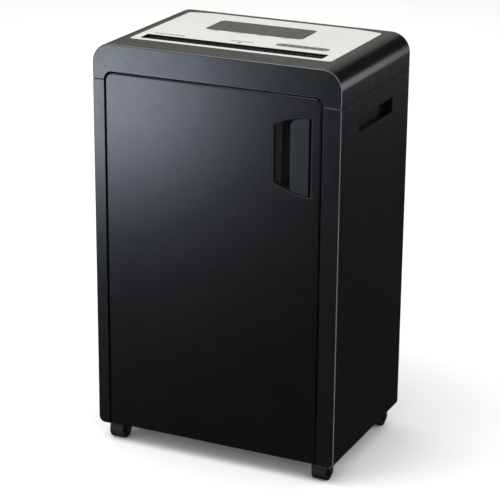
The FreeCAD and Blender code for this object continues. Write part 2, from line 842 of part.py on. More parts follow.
def gear(teeth, module, x0, x1, y, z, bore, phase):
    """Spur gear about an X axis. Phase is the angle of one tooth from +Y towards +Z."""
    pitch_r = module * teeth / 2
    base_r = pitch_r * math.cos(pressure_angle)
    tip_r = pitch_r + addendum_share * module
    root_r = pitch_r - dedendum_share * module
    half_tooth = (math.pi * module / 2 - gear_backlash) / (2 * pitch_r)

    def flank(radius):
        at = math.acos(min(1.0, base_r / radius))
        return half_tooth + involute(pressure_angle) - involute(at)

    def point(radius, angle):
        return Vec(x0, y + radius * math.cos(angle), z + radius * math.sin(angle))

    start_r = max(base_r, root_r)
    middle_r = (start_r + tip_r) / 2
    step = 2 * math.pi / teeth
    edges = []
    for index in range(teeth):
        middle = phase + index * step
        rising = [point(r, middle - flank(r)) for r in (start_r, middle_r, tip_r)]
        falling = [point(r, middle + flank(r)) for r in (tip_r, middle_r, start_r)]
        root_out = point(root_r, middle - flank(start_r))
        root_in = point(root_r, middle + flank(start_r))
        if root_r < base_r:
            edges.append(Part.makeLine(root_out, rising[0]))
        edges.append(Part.Arc(*rising).toShape())
        edges.append(Part.Arc(rising[2], point(tip_r, middle), falling[0]).toShape())
        edges.append(Part.Arc(*falling).toShape())
        if root_r < base_r:
            edges.append(Part.makeLine(falling[2], root_in))
        next_root = point(root_r, middle + step - flank(start_r))
        edges.append(Part.Arc(root_in, point(root_r, middle + step / 2), next_root).toShape())
    blank = Part.Face(Part.Wire(edges)).extrude(Vec(x1 - x0, 0, 0))
    return blank.cut(rod_x(x0 - 1, x1 + 1, y, z, bore))


def mesh_phase(from_yz, to_yz, from_teeth, to_teeth, from_phase):
    """Phase that puts a gap of the second gear opposite a tooth of the first."""
    toward = math.atan2(to_yz[1] - from_yz[1], to_yz[0] - from_yz[0])
    share = (toward - from_phase) * from_teeth / (2 * math.pi)
    return toward + math.pi - (0.5 - share) * 2 * math.pi / to_teeth


rear_axis = (rear_roll_y, roll_z)
front_axis = (front_roll_y, roll_z)
idler_axis = (idler_y, idler_z)
motor_axis = (motor_y, motor_z)
front_phase = mesh_phase(rear_axis, front_axis, roll_gear_teeth, roll_gear_teeth, 0.0)
slow_phase = mesh_phase(rear_axis, idler_axis, drive_teeth, slow_pinion_teeth, 0.0)
motor_phase = mesh_phase(idler_axis, motor_axis, fast_gear_teeth, motor_pinion_teeth, 0.0)


def roll_gear(y, phase):
    return gear(roll_gear_teeth, roll_distance / roll_gear_teeth, roll_gear_x, roll_gear_x + gear_width,
                y, roll_z, journal_r, phase)


def drive_gear():
    wheel = gear(drive_teeth, slow_module, drive_gear_x, drive_gear_x + gear_width,
                 rear_roll_y, roll_z, journal_r, 0.0)
    for index in range(web_holes):
        angle = index * 2 * math.pi / web_holes
        wheel = wheel.cut(rod_x(drive_gear_x - 1, drive_gear_x + gear_width + 1,
                                rear_roll_y + web_hole_at * math.cos(angle),
                                roll_z + web_hole_at * math.sin(angle), web_hole_r))
    return wheel


def intermediate_gear():
    large = gear(fast_gear_teeth, fast_module, fast_gear_x, fast_gear_x + fast_gear_width,
                 idler_y, idler_z, gear_pin_r + running, 0.0)
    small = gear(slow_pinion_teeth, slow_module, fast_gear_x + fast_gear_width,
                 drive_gear_x + gear_width + drive_gear_reach, idler_y, idler_z, gear_pin_r + running,
                 slow_phase)
    return large.fuse(small)


def motor_pinion():
    return gear(motor_pinion_teeth, fast_module, fast_gear_x, fast_gear_x + fast_gear_width,
                motor_y, motor_z, shaft_r, motor_phase)


def gear_cover():
    """Outer plate of the gear case, on four posts."""
    y0 = front_roll_y - cover_front
    y1 = motor_y + cover_rear
    z0 = chassis_top + cover_foot
    z1 = roll_z + plate_top + cover_above_plate
    plate = rounded_box(cover_x, cover_x + cover_thick, y0, y1, z0, z1, Vec(1, 0, 0), cover_corner)
    posts = [rod_x(plate_right_x + side_plate, cover_x, y, z, cover_post_r)
             for y in (y0 + cover_post_in, y1 - cover_corner) for z in (z0 + cover_post_in, z1 - cover_corner)]
    return fuse([plate] + posts).cut(rod_x(cover_x - 1, cover_x + cover_thick + 1, idler_y, idler_z,
                                           gear_pin_r))


def gear_pin():
    return rod_x(plate_right_x, cover_x + cover_thick, idler_y, idler_z, gear_pin_r)


# --- motor ---
def motor_housing():
    right = plate_right_x
    can = rod_x(motor_left, right, motor_y, motor_z, motor_radius)
    can = can.cut(rod_x(motor_left + motor_cap, right - motor_cap, motor_y, motor_z,
                        motor_radius - motor_wall))
    can = can.cut(rod_x(motor_left - 1, right + 1, motor_y, motor_z, bearing_r))
    for index in range(motor_vents):
        angle = index * 2 * math.pi / motor_vents
        vent = rod_x(motor_left - 1, motor_left + motor_cap + 1, motor_y + motor_vent_at * math.cos(angle),
                     motor_z + motor_vent_at * math.sin(angle), motor_vent_r)
        can = can.cut(vent)
    return can


def motor_stator():
    middle = plate_right_x - motor_length / 2
    ring = rod_x(middle - stator_length / 2, middle + stator_length / 2, motor_y, motor_z,
                 motor_radius - motor_wall)
    return ring.cut(rod_x(middle - stator_length, middle + stator_length, motor_y, motor_z,
                          rotor_radius + air_gap))


def motor_bearings():
    rings = []
    for x in (motor_left, plate_right_x - motor_cap):
        ring = rod_x(x, x + motor_cap, motor_y, motor_z, bearing_r)
        rings.append(ring.cut(rod_x(x - 1, x + motor_cap + 1, motor_y, motor_z, shaft_r + running)))
    return Part.makeCompound(rings)


def motor_rotor():
    middle = plate_right_x - motor_length / 2
    shaft = rod_x(motor_left - fan_gap - fan_length - shaft_past_fan,
                  fast_gear_x + fast_gear_width + shaft_past_pinion, motor_y, motor_z, shaft_r)
    core = rod_x(middle - rotor_length / 2, middle + rotor_length / 2, motor_y, motor_z, rotor_radius)
    return shaft.fuse(core)


def motor_fan():
    x0 = motor_left - fan_length - fan_gap
    disc = rod_x(x0, x0 + fan_disc_thick, motor_y, motor_z, fan_radius)
    hub = rod_x(x0, x0 + fan_length, motor_y, motor_z, shaft_r + fan_hub_wall)
    pieces = [disc, hub]
    for index in range(fan_blades):
        blade = box(x0 + fan_disc_thick, x0 + fan_length, motor_y + shaft_r + fan_hub_wall - 1,
                    motor_y + fan_radius - 1, motor_z - fan_blade_half, motor_z + fan_blade_half)
        blade.rotate(Vec(0, motor_y, motor_z), Vec(1, 0, 0), index * 360 / fan_blades)
        pieces.append(blade)
    return fuse(pieces).cut(rod_x(x0 - 1, x0 + fan_length + 1, motor_y, motor_z, shaft_r))


# --- electrics ---
def power_board_studs():
    return [(x, y) for x in stud_places_x for y in (motor_y - stud_front, motor_y + stud_rear)]


def power_board():
    z0 = chassis_top + board_gap
    y0 = motor_y - power_board_front
    y1 = motor_y + power_board_rear
    top = z0 + board_thick
    board = box(power_board_left, power_board_right, y0, y1, z0, top)
    left, right, front, rear, height = coil_box
    pieces = [board, box(left, right, y0 + front, y0 + rear, top, top + height)]
    left, right, front, rear, height = relay_box
    for place in (0, relay_pitch):
        pieces.append(box(left + place, right + place, y0 + front, y0 + rear, top, top + height))
    left, right, front, rear, height = socket_box
    for place in (0, socket_pitch, 2 * socket_pitch):
        pieces.append(box(left + place, right + place, y1 - front, y1 - rear, top, top + height))
    return fuse(pieces)


def run_capacitor():
    return rod_z(-inner_x + capacitor_from_wall, inner_rear - capacitor_from_rear, chassis_top,
                 chassis_top + capacitor_height, capacitor_r)


def bin_full_sensor():
    y0 = rear_roll_y + bin_sensor_rear
    return box(slot_centre_x - bin_sensor_width / 2, slot_centre_x + bin_sensor_width / 2, y0,
               y0 + bin_sensor_length, chassis_bottom - bin_sensor_height, chassis_bottom)


def inlet_body():
    """Outer form of the appliance inlet, its flange flush with the rear face."""
    body = box(inlet_x - inlet_width / 2, inlet_x + inlet_width / 2, rear_y - inlet_depth, rear_y,
               fitting_z - inlet_height / 2, fitting_z + inlet_height / 2)
    flange = rounded_box(inlet_x - inlet_width / 2 - inlet_flange, inlet_x + inlet_width / 2 + inlet_flange,
                         rear_y - flange_thick, rear_y, fitting_z - inlet_height / 2 - inlet_flange,
                         fitting_z + inlet_height / 2 + inlet_flange, Vec(0, 1, 0), inlet_corner)
    return body.fuse(flange)


def power_inlet():
    half = inlet_width / 2 - inlet_side_wall
    tall = inlet_height / 2 - inlet_end_wall
    well = box(inlet_x - half, inlet_x + half, rear_y - inlet_well, rear_y + 1, fitting_z - tall,
               fitting_z + tall)
    low = [e for e in edges_along(well, Vec(0, 1, 0)) if e.BoundBox.ZMax < fitting_z]
    well = well.makeChamfer(inlet_chamfer, low)
    pins = [box(inlet_x + dx - pin_half_width, inlet_x + dx + pin_half_width, rear_y - pin_root,
                rear_y - pin_tip, fitting_z + dz - pin_half_height, fitting_z + dz + pin_half_height)
            for dx, dz in inlet_pins]
    return fuse([inlet_body().cut(well)] + pins)


def switch_body():
    wide = switch_width / 2
    tall = switch_height / 2
    body = box(switch_x - wide, switch_x + wide, rear_y - switch_depth, rear_y, fitting_z - tall,
               fitting_z + tall)
    flange = rounded_box(switch_x - wide - switch_flange, switch_x + wide + switch_flange,
                         rear_y - flange_thick, rear_y, fitting_z - tall - switch_flange,
                         fitting_z + tall + switch_flange, Vec(0, 1, 0), switch_flange)
    return body.fuse(flange)


def switch_frame():
    """Frame of the mains switch, with a well for the rocker."""
    half = switch_width / 2 - switch_wall
    tall = switch_height / 2 - switch_wall
    well = box(switch_x - half, switch_x + half, rear_y - switch_well, rear_y + 1, fitting_z - tall,
               fitting_z + tall)
    bearing = rod_x(switch_x - half - rocker_pin_reach, switch_x + half + rocker_pin_reach,
                    rear_y - rocker_axis, fitting_z, rocker_pin_r + running)
    return switch_body().cut(well).cut(bearing)


def switch_rocker():
    """Rocker with two faces at an angle, turning on two small pins."""
    half = switch_width / 2 - switch_wall - rocker_side_gap
    tall = switch_height / 2 - switch_wall - rocker_end_gap
    x0 = switch_x - half
    y = rear_y
    corners = [Vec(x0, y - 2.6, fitting_z - tall), Vec(x0, y - 2.2, fitting_z),
               Vec(x0, y - 0.4, fitting_z + tall - 0.4), Vec(x0, y - 3.4, fitting_z + tall),
               Vec(x0, y - 9.0, fitting_z + 3.0), Vec(x0, y - 9.0, fitting_z - 3.0),
               Vec(x0, y - 5.4, fitting_z - tall)]
    face = Part.Face(Part.makePolygon(corners + corners[:1]))
    rocker = face.extrude(Vec(2 * half, 0, 0))
    return rocker.fuse(rod_x(switch_x - half - rocker_pin_reach, switch_x + half + rocker_pin_reach,
                             y - rocker_axis, fitting_z, rocker_pin_r))


# --- bin ---
def waste_bin():
    x0 = -inner_x + bin_side_gap + left_column - panel_wall
    x1 = inner_x - bin_side_gap - right_column + panel_wall
    y0 = liner_back + bin_front_gap + scoop_depth + cup_wall - liner_depth
    y1 = inner_rear - bin_rear_gap
    z1 = chassis_bottom - bin_top_gap
    tub = rounded_box(x0, x1, y0, y1, tray_top, z1, Vec(0, 0, 1), bin_corner)
    rim = rounded_box(x0 - bin_rim, x1 + bin_rim, y0 - bin_rim, y1 + bin_rim, z1 - bin_rim_thick, z1,
                      Vec(0, 0, 1), bin_corner + bin_rim)
    hollow = rounded_box(x0 + bin_wall, x1 - bin_wall, y0 + bin_wall, y1 - bin_wall,
                         tray_top + bin_wall, z1 + 1, Vec(0, 0, 1), bin_corner - bin_wall)
    return fuse([tub, rim]).cut(hollow)


# --- door ---
def handle_prism(inset, y0, y1):
    """Prism of the handle outline: straight sides, gently bowed slanting top and bottom."""
    left = handle_left
    right = handle_right
    middle = (left + right) / 2
    low_left = Vec(left, y0, handle_bottom + handle_drop)
    high_left = Vec(left, y0, handle_top - handle_drop)
    high_right = Vec(right, y0, handle_top)
    low_right = Vec(right, y0, handle_bottom)
    high = Vec(middle, y0, handle_top - handle_drop / 2 + handle_bulge)
    low = Vec(middle, y0, handle_bottom + handle_drop / 2 - handle_bulge)
    wire = Part.Wire([Part.makeLine(low_left, high_left),
                      Part.Arc(high_left, high, high_right).toShape(),
                      Part.makeLine(high_right, low_right),
                      Part.Arc(low_right, low, low_left).toShape()])
    prism = Part.Face(wire).extrude(Vec(0, y1 - y0, 0))
    prism = prism.makeFillet(handle_corner, edges_along(prism, Vec(0, 1, 0)))
    if inset == 0:
        return prism
    ends = edges_at(prism, "y", y0)
    outline = Part.Wire(Part.__sortEdges__(ends)).makeOffset2D(-inset)
    return Part.Face(outline).extrude(Vec(0, y1 - y0, 0))


def scoop_cylinder(radius):
    middle = (handle_left + handle_right) / 2
    y = front_y + scoop_depth - scoop_radius
    return rod_z(middle, y, handle_bottom - 5, handle_top + 5, radius)


def handle_cup():
    """Finger scoop let into the door, with a rim round it."""
    back = front_y + scoop_depth + cup_wall
    rim = handle_prism(0, front_y, front_y + cup_rim)
    shell = handle_prism(0, front_y, back).common(scoop_cylinder(scoop_radius + cup_wall))
    cup = rim.fuse(shell)
    hollow = handle_prism(cup_wall, front_y - 1, back).common(scoop_cylinder(scoop_radius))
    cup = cup.cut(hollow)
    return cup.cut(paddle_pin())


def paddle_pin():
    return rod_z(paddle_pin_x, paddle_pin_y, handle_bottom + 3.0, handle_top - 2.6, paddle_pin_r)


def spring_radius():
    return paddle_pin_r + spring_wire / 2 + spring_clear


def paddle_spring():
    """Return spring round the lower end of the paddle pin."""
    radius = spring_radius()
    half = spring_wire / 2
    rise = paddle_spring_length - spring_wire
    helix = Part.makeHelix(rise / spring_turns, rise, radius)
    square = ((-half, -half), (half, -half), (half, half), (-half, half))
    corners = [Vec(radius + dx, 0, dz) for dx, dz in square]
    coil = Part.Wire(helix.Edges).makePipeShell([Part.makePolygon(corners + corners[:1])], True, True)
    coil.translate(Vec(paddle_pin_x, paddle_pin_y, handle_bottom + spring_above + half))
    return coil


def handle_paddle():
    """Flap pulled by the fingers, hinged on the pin near its right edge."""
    left = handle_left + paddle_left
    right = handle_right - paddle_right
    plate = handle_prism(cup_wall + paddle_gap, front_y, front_y + paddle_thick)
    plate = plate.common(box(left, right, front_y, front_y + paddle_thick, handle_bottom, handle_top))
    corner = Vec(left - 1, front_y - 1, handle_top - 3)
    triangle = [corner, corner + Vec(paddle_corner_cut + 6, 0, 0), corner - Vec(0, 0, paddle_corner_cut + 6)]
    cut = Part.Face(Part.makePolygon(triangle + triangle[:1])).extrude(Vec(0, paddle_thick + 2, 0))
    plate = plate.cut(cut)
    barrel_low = handle_bottom + spring_above + paddle_spring_length + 1.0
    barrel = rod_z(paddle_pin_x, paddle_pin_y, barrel_low, handle_top - 10, paddle_barrel_r)
    bore = rod_z(paddle_pin_x, paddle_pin_y, handle_bottom - 1, handle_top + 1, paddle_pin_r + running)
    spring_room = rod_z(paddle_pin_x, paddle_pin_y, handle_bottom - 1, barrel_low,
                        spring_radius() + spring_wire / 2 + spring_clear)
    return plate.fuse(barrel).cut(spring_room).cut(bore).removeSplitter()


def hinge_heights():
    return [floor_gap + hinge_from_end, door_top - hinge_from_end]


def hinge_knuckles(z):
    """Two blocks on the door, above and below the fixed leaf."""
    near = leaf_thick / 2 + door_clear
    blocks = []
    for z0 in (z + near, z - near - knuckle_length):
        block = box(hinge_x - 4, liner_left, skin_back - 0.2, hinge_y + 2.5, z0, z0 + knuckle_length)
        blocks.append(block.cut(rod_z(hinge_x, hinge_y, z0 - 1, z0 + knuckle_length + 1,
                                      hinge_pin_r + running)))
    return blocks


def door_panel():
    skin = door_opening(0, front_y, skin_back)
    skin = skin.makeFillet(door_edge_round, edges_at(skin, "y", front_y))
    knuckles = []
    for z in hinge_heights():
        knuckles += hinge_knuckles(z)
    return fuse([skin] + knuckles).cut(handle_prism(0, front_y - 1, skin_back + 1))


def door_liner():
    """Hollow inner moulding of the door."""
    z0 = floor_gap + liner_bottom
    z1 = door_top - liner_top
    block = rounded_box(liner_left, liner_right, skin_back, liner_back, z0, z1, Vec(0, 1, 0), 8.0)
    hollow = rounded_box(liner_left + liner_wall, liner_right - liner_wall, skin_back - 1,
                         liner_back - liner_wall, z0 + liner_wall, z1 - liner_wall, Vec(0, 1, 0), 6.0)
    return block.cut(hollow).cut(handle_prism(0, skin_back - 1, liner_back + 1))


def hinge_leaf(z):
    """Steel leaf on the column, with an eye that holds the hinge pin."""
    z0 = z - leaf_thick / 2
    z1 = z + leaf_thick / 2
    column_x = -half_width + left_column
    # the edge of the open door sweeps round the pin, clear of the foot
    mid_y = hinge_y + math.hypot(hinge_in_x, hinge_in_y) + 2 * door_clear
    end_y = column_back - 0.5
    arm_left = hinge_x - leaf_arm_left
    eye = rod_z(hinge_x, hinge_y, z0, z1, leaf_eye_r)
    arm = box(arm_left, arm_left + leaf_arm, hinge_y, mid_y, z0, z1)
    foot = box(column_x, arm_left + leaf_arm, mid_y, end_y, z0, z1)
    flange = box(column_x, column_x + 2.0, mid_y, end_y, z - 10, z + 10)
    return fuse([eye, arm, foot, flange]).cut(rod_z(hinge_x, hinge_y, z0 - 1, z1 + 1, hinge_pin_r))


def hinge_pins():
    reach = leaf_thick / 2 + door_clear + knuckle_length
    return Part.makeCompound([rod_z(hinge_x, hinge_y, z - reach, z + reach, hinge_pin_r)
                              for z in hinge_heights()])


def keeper_plate():
    z = (floor_gap + door_top) / 2
    return box(liner_right - 16, liner_right - 4, liner_back, liner_back + 1.5, z - 18, z + 18)


def catch_magnet():
    """Magnetic catch on the inner face of the right column."""
    z = (floor_gap + door_top) / 2
    x1 = half_width - right_column
    y0 = liner_back + 1.5 + 0.4
    return box(liner_right - 13, x1, y0, column_back + 2, z - 20, z + 20)


def door_switch():
    x1 = half_width - right_column
    z = door_top - 36
    return box(liner_right - 8, x1, liner_back + 2 * door_clear, column_back + 2, z - 10, z + 10)


# --- rollers ---
def at_corner(side, end):
    return side * wheel_x, end * wheel_y


def wheel(side, end):
    x, y = at_corner(side, end)
    tread = rod_x(x - wheel_width / 2, x + wheel_width / 2, y, wheel_radius, wheel_radius)
    tread = tread.makeFillet(wheel_edge_round, [e for e in tread.Edges if isinstance(e.Curve, Part.Circle)])
    for face in (-1, 1):
        x0 = x + face * (wheel_width / 2 - wheel_recess)
        x1 = x0 + face * 2 * wheel_recess
        ring = rod_x(min(x0, x1), max(x0, x1), y, wheel_radius, wheel_radius - wheel_rim)
        core = rod_x(min(x0, x1), max(x0, x1), y, wheel_radius, axle_r + wheel_hub)
        tread = tread.cut(ring.cut(core))
    return tread.cut(rod_x(x - wheel_width, x + wheel_width, y, wheel_radius, axle_r + running))


def wheel_axle(side, end):
    x, y = at_corner(side, end)
    half = wheel_width / 2 + cheek_gap + cheek_thick
    return rod_x(x - half, x + half, y, wheel_radius, axle_r)


def wheel_bracket(side, end):
    """Inverted U of sheet steel that holds a roller under the base."""
    x, y = at_corner(side, end)
    inner = wheel_width / 2 + cheek_gap
    outer = inner + cheek_thick
    top = tray_top - tray_thick
    far = y - end * bracket_length
    start = y - end * bracket_start
    plate = box(x - outer, x + outer, min(start, far), max(start, far), top - cheek_thick, top)
    cheeks = []
    for face in (-1, 1):
        x0 = x + face * (inner + cheek_thick / 2) - cheek_thick / 2
        ear = rod_x(x0, x0 + cheek_thick, y, wheel_radius, cheek_half)
        neck = box(x0, x0 + cheek_thick, y - cheek_half, y + cheek_half, wheel_radius, top)
        web = box(x0, x0 + cheek_thick, min(y, far), max(y, far), top - web_height, top)
        cheeks += [ear, neck, web]
    hole = rod_x(x - outer - 1, x + outer + 1, y, wheel_radius, axle_r)
    return fuse([plate] + cheeks).cut(hole)


def corner_group(maker):
    return Part.makeCompound([maker(side, end) for side in (-1, 1) for end in (-1, 1)])


# --- all pieces ---
def main():
    os.makedirs("parts", exist_ok=True)
    form = envelope()
    save("hood", hood(form))
    save("side_panel_left", side_panel(form, -1, left_column))
    save("side_panel_right", side_panel(form, 1, right_column))
    save("rear_panel", rear_panel(form))
    save("rear_screws", rear_screws())
    save("base_tray", base_tray(form))
    save("grip_cup_left", grip_cup(-1))
    save("grip_cup_right", grip_cup(1))
    save("top_panel", top_panel())
    save("display_window", display_window())
    save("control_board", control_board())
    save("paper_throat", paper_throat())
    save("entry_sensor", entry_sensor())
    save("chassis_plate", chassis_plate())
    save("cutter_plate_left", cutter_plate(plate_left_x - side_plate, rear_roll_y + plate_rear_short))
    save("cutter_plate_right", cutter_plate_right())
    save("tie_rods", tie_rods())
    save("roll_bearings", roll_bearings())
    save("cutter_roll_front", cutter_roll(front_roll_y, True, roll_gear_x + gear_width))
    save("cutter_roll_rear", cutter_roll(rear_roll_y, False, drive_gear_x + gear_width + 1))
    save("comb_front", comb(front_roll_y, -1, True))
    save("comb_rear", comb(rear_roll_y, 1, False))
    save("roll_gear_front", roll_gear(front_roll_y, front_phase))
    save("roll_gear_rear", roll_gear(rear_roll_y, 0.0))
    save("drive_gear", drive_gear())
    save("intermediate_gear", intermediate_gear())
    save("gear_pin", gear_pin())
    save("gear_cover", gear_cover())
    save("motor_housing", motor_housing())
    save("motor_stator", motor_stator())
    save("motor_bearings", motor_bearings())
    save("motor_rotor", motor_rotor())
    save("motor_pinion", motor_pinion())
    save("motor_fan", motor_fan())
    save("power_board", power_board())
    save("run_capacitor", run_capacitor())
    save("bin_full_sensor", bin_full_sensor())
    save("power_inlet", power_inlet())
    save("switch_frame", switch_frame())
    save("switch_rocker", switch_rocker())
    save("waste_bin", waste_bin())
    save("door_panel", door_panel())
    save("door_liner", door_liner())
    save("handle_cup", handle_cup())
    save("handle_paddle", handle_paddle())
    save("paddle_pin", paddle_pin())
    save("paddle_spring", paddle_spring())
    save("hinge_pins", hinge_pins())
    save("keeper_plate", keeper_plate())
    save("catch_magnet", catch_magnet())
    save("door_switch", door_switch())
    for name, z in zip(("lower", "upper"), hinge_heights()):
        save("hinge_leaf_" + name, hinge_leaf(z))
    for side, side_name in ((-1, "left"), (1, "right")):
        for end, end_name in ((-1, "front"), (1, "rear")):
            save("wheel_" + end_name + "_" + side_name, wheel(side, end))
    save("wheel_axles", corner_group(wheel_axle))
    save("wheel_brackets", corner_group(wheel_bracket))


main()
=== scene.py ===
import json
import math
import bmesh
import bpy
from mathutils import Euler, Matrix, Vector

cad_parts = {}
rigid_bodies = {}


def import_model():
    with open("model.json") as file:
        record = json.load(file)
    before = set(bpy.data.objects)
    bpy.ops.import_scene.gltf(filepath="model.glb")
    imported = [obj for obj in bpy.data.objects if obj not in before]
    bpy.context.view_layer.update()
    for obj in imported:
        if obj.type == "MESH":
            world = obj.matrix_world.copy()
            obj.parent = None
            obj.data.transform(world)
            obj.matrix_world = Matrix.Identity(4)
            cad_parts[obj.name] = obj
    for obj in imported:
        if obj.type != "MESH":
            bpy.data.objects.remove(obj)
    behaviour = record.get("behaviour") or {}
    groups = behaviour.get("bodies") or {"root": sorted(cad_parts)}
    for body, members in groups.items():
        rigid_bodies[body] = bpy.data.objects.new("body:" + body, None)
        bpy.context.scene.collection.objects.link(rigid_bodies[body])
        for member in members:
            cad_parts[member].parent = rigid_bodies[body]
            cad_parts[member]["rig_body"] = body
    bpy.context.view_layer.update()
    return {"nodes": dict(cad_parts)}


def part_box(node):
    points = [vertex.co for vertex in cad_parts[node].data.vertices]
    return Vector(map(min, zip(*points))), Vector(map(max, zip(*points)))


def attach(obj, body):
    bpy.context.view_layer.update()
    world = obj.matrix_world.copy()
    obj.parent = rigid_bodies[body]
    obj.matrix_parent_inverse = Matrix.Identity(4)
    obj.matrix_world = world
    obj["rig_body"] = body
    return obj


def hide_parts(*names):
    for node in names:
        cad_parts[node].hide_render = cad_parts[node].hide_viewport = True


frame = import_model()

mm = 0.001
nodes = frame["nodes"]
slotOf = {name: node.data.materials[0].name for name, node in nodes.items()}
bodyOf = {name: node["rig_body"] for name, node in nodes.items()}


# colours are sRGB hex, turned to linear here
def toLinear(hexColour):
    channels = [int(hexColour[i:i + 2], 16) / 255 for i in (1, 3, 5)]
    return [c / 12.92 if c <= 0.04045 else ((c + 0.055) / 1.055) ** 2.4 for c in channels] + [1.0]


# adds one node, sets its inputs and properties, and links what feeds it
def addNode(tree, kind, links=None, values=None, **settings):
    node = tree.nodes.new(kind)
    for name, value in settings.items():
        setattr(node, name, value)
    for name, value in (values or {}).items():
        node.inputs[name].default_value = value
    for name, source in (links or {}).items():
        tree.links.new(source, node.inputs[name])
    return node


# ---- camera ----
camera = {
    "place": (1.2358, -2.6487, 1.3371),
    "turn": -25.06,         # degrees from straight back, towards the right
    "down": 19.32,
    "roll": 0.49,
    "lens": 140.4,
    "sensor": 36,
    "farthest": 60,         # metres
}


def makeCamera(look):
    turn, down, roll = (math.radians(look[key]) for key in ("turn", "down", "roll"))
    ahead = Vector((math.sin(turn) * math.cos(down), math.cos(turn) * math.cos(down), -math.sin(down)))
    level = Vector((math.cos(turn), -math.sin(turn), 0))
    upright = level.cross(ahead)
    right = math.cos(roll) * level + math.sin(roll) * upright
    up = math.cos(roll) * upright - math.sin(roll) * level
    data = bpy.data.cameras.new("camera")
    data.lens = look["lens"]
    data.sensor_width = look["sensor"]
    data.clip_end = look["farthest"]
    viewer = bpy.data.objects.new("camera", data)
    turned = Matrix((right, up, -ahead)).transposed().to_4x4()
    viewer.matrix_world = Matrix.Translation(look["place"]) @ turned
    bpy.context.scene.collection.objects.link(viewer)
    bpy.context.scene.camera = viewer


makeCamera(camera)
print("camera placed")


# ---- materials ----
# Each plastic has a cloud of slow colour change, a grain that the mould leaves, and a finer
# scatter of gloss. Sizes are in millimetres. A spark eroded mould leaves a grain of about
# 0.2 mm, which is drawn several times coarser so that it shows.
plastics = {
    # black ABS from a spark eroded mould: soft, even, slightly milky highlights
    "grainedAbs": {"dark": "#080a0c", "light": "#0d1012", "cloud": 90, "grain": 1.3,
                   "rough": (0.25, 0.30), "bump": 0.15, "height": 0.06, "ior": 1.53},
    # black ABS from a finely blasted mould: deeper black, a broad satin sheen
    "satinAbs": {"dark": "#050607", "light": "#08090a", "cloud": 120, "grain": 1.1,
                 "rough": (0.26, 0.285), "bump": 0.08, "height": 0.04, "ior": 1.53},
    # the same grained ABS made greyer and glossier, laid on the rounded front rims as a painted highlight
    # where the rims catch the light
    "rimHighlightAbs": {"dark": "#4a4d50", "light": "#62656a", "cloud": 40, "grain": 1.3,
                  "rough": (0.22, 0.30), "bump": 0.10, "height": 0.04, "ior": 1.53},
    # black polyamide inner mouldings: dull, with faint flow clouds
    "innerPolyamide": {"dark": "#0b0c0d", "light": "#131415", "cloud": 35, "grain": 1.6,
                       "rough": (0.48, 0.62), "bump": 0.25, "height": 0.08, "ior": 1.53},
    # white ABS, satin: clean, a little warm, with a soft sheen
    "whiteAbs": {"dark": "#ced0ca", "light": "#d5d7d1", "cloud": 70, "grain": 1.0,
                 "rough": (0.30, 0.37), "bump": 0.06, "height": 0.04, "ior": 1.53},
    # dark grey ABS pull flap: cooler and lighter than the scoop round it
    "paddleAbs": {"dark": "#0c0e11", "light": "#111418", "cloud": 25, "grain": 0.9,
                  "rough": (0.34, 0.42), "bump": 0.16, "height": 0.05, "ior": 1.53},
    # grey polypropylene tub: waxy, with slow cloudy streaks
    "tubPolypropylene": {"dark": "#3a3c3e", "light": "#47494b", "cloud": 60, "grain": 2.2,
                         "rough": (0.44, 0.60), "bump": 0.20, "height": 0.10, "ior": 1.49},
    # black thermoplastic rubber tread: nearly matt, dusty grey in the hollows
    "rollerRubber": {"dark": "#0c0c0d", "light": "#191a1b", "cloud": 9, "grain": 0.9,
                     "rough": (0.55, 0.75), "bump": 0.35, "height": 0.10, "ior": 1.52},
    # screen printing inks, dark and mid grey
    "darkInk": {"dark": "#3b3e40", "light": "#464a4c", "cloud": 6, "grain": 0.7,
                "rough": (0.45, 0.55), "bump": 0.05, "height": 0.01, "ior": 1.5},
    "midInk": {"dark": "#6c6f72", "light": "#787b7e", "cloud": 6, "grain": 0.7,
               "rough": (0.45, 0.55), "bump": 0.05, "height": 0.01, "ior": 1.5},
    # powder coated steel: black, slightly orange peeled
    "powderCoat": {"dark": "#111213", "light": "#18191a", "cloud": 30, "grain": 1.8,
                   "rough": (0.36, 0.46), "bump": 0.4, "height": 0.08, "ior": 1.5},
}
# how fine each pattern is; smearShare is the smear's size as a share of the cloud's
plasticPattern = {"cloudDetail": 2.0, "grainDetail": 2.5, "grainRough": 0.6, "smearShare": 0.35,
                  "smearDetail": 4.0, "smearPull": 0.4, "low": 0.7, "high": 1.3}


# starts a material: its empty tree, and the place that its patterns read
def emptyMaterial(name):
    material = bpy.data.materials.new(name)
    material.use_nodes = True
    tree = material.node_tree
    tree.nodes.clear()
    return material, tree, addNode(tree, "ShaderNodeTexCoord").outputs["Object"]


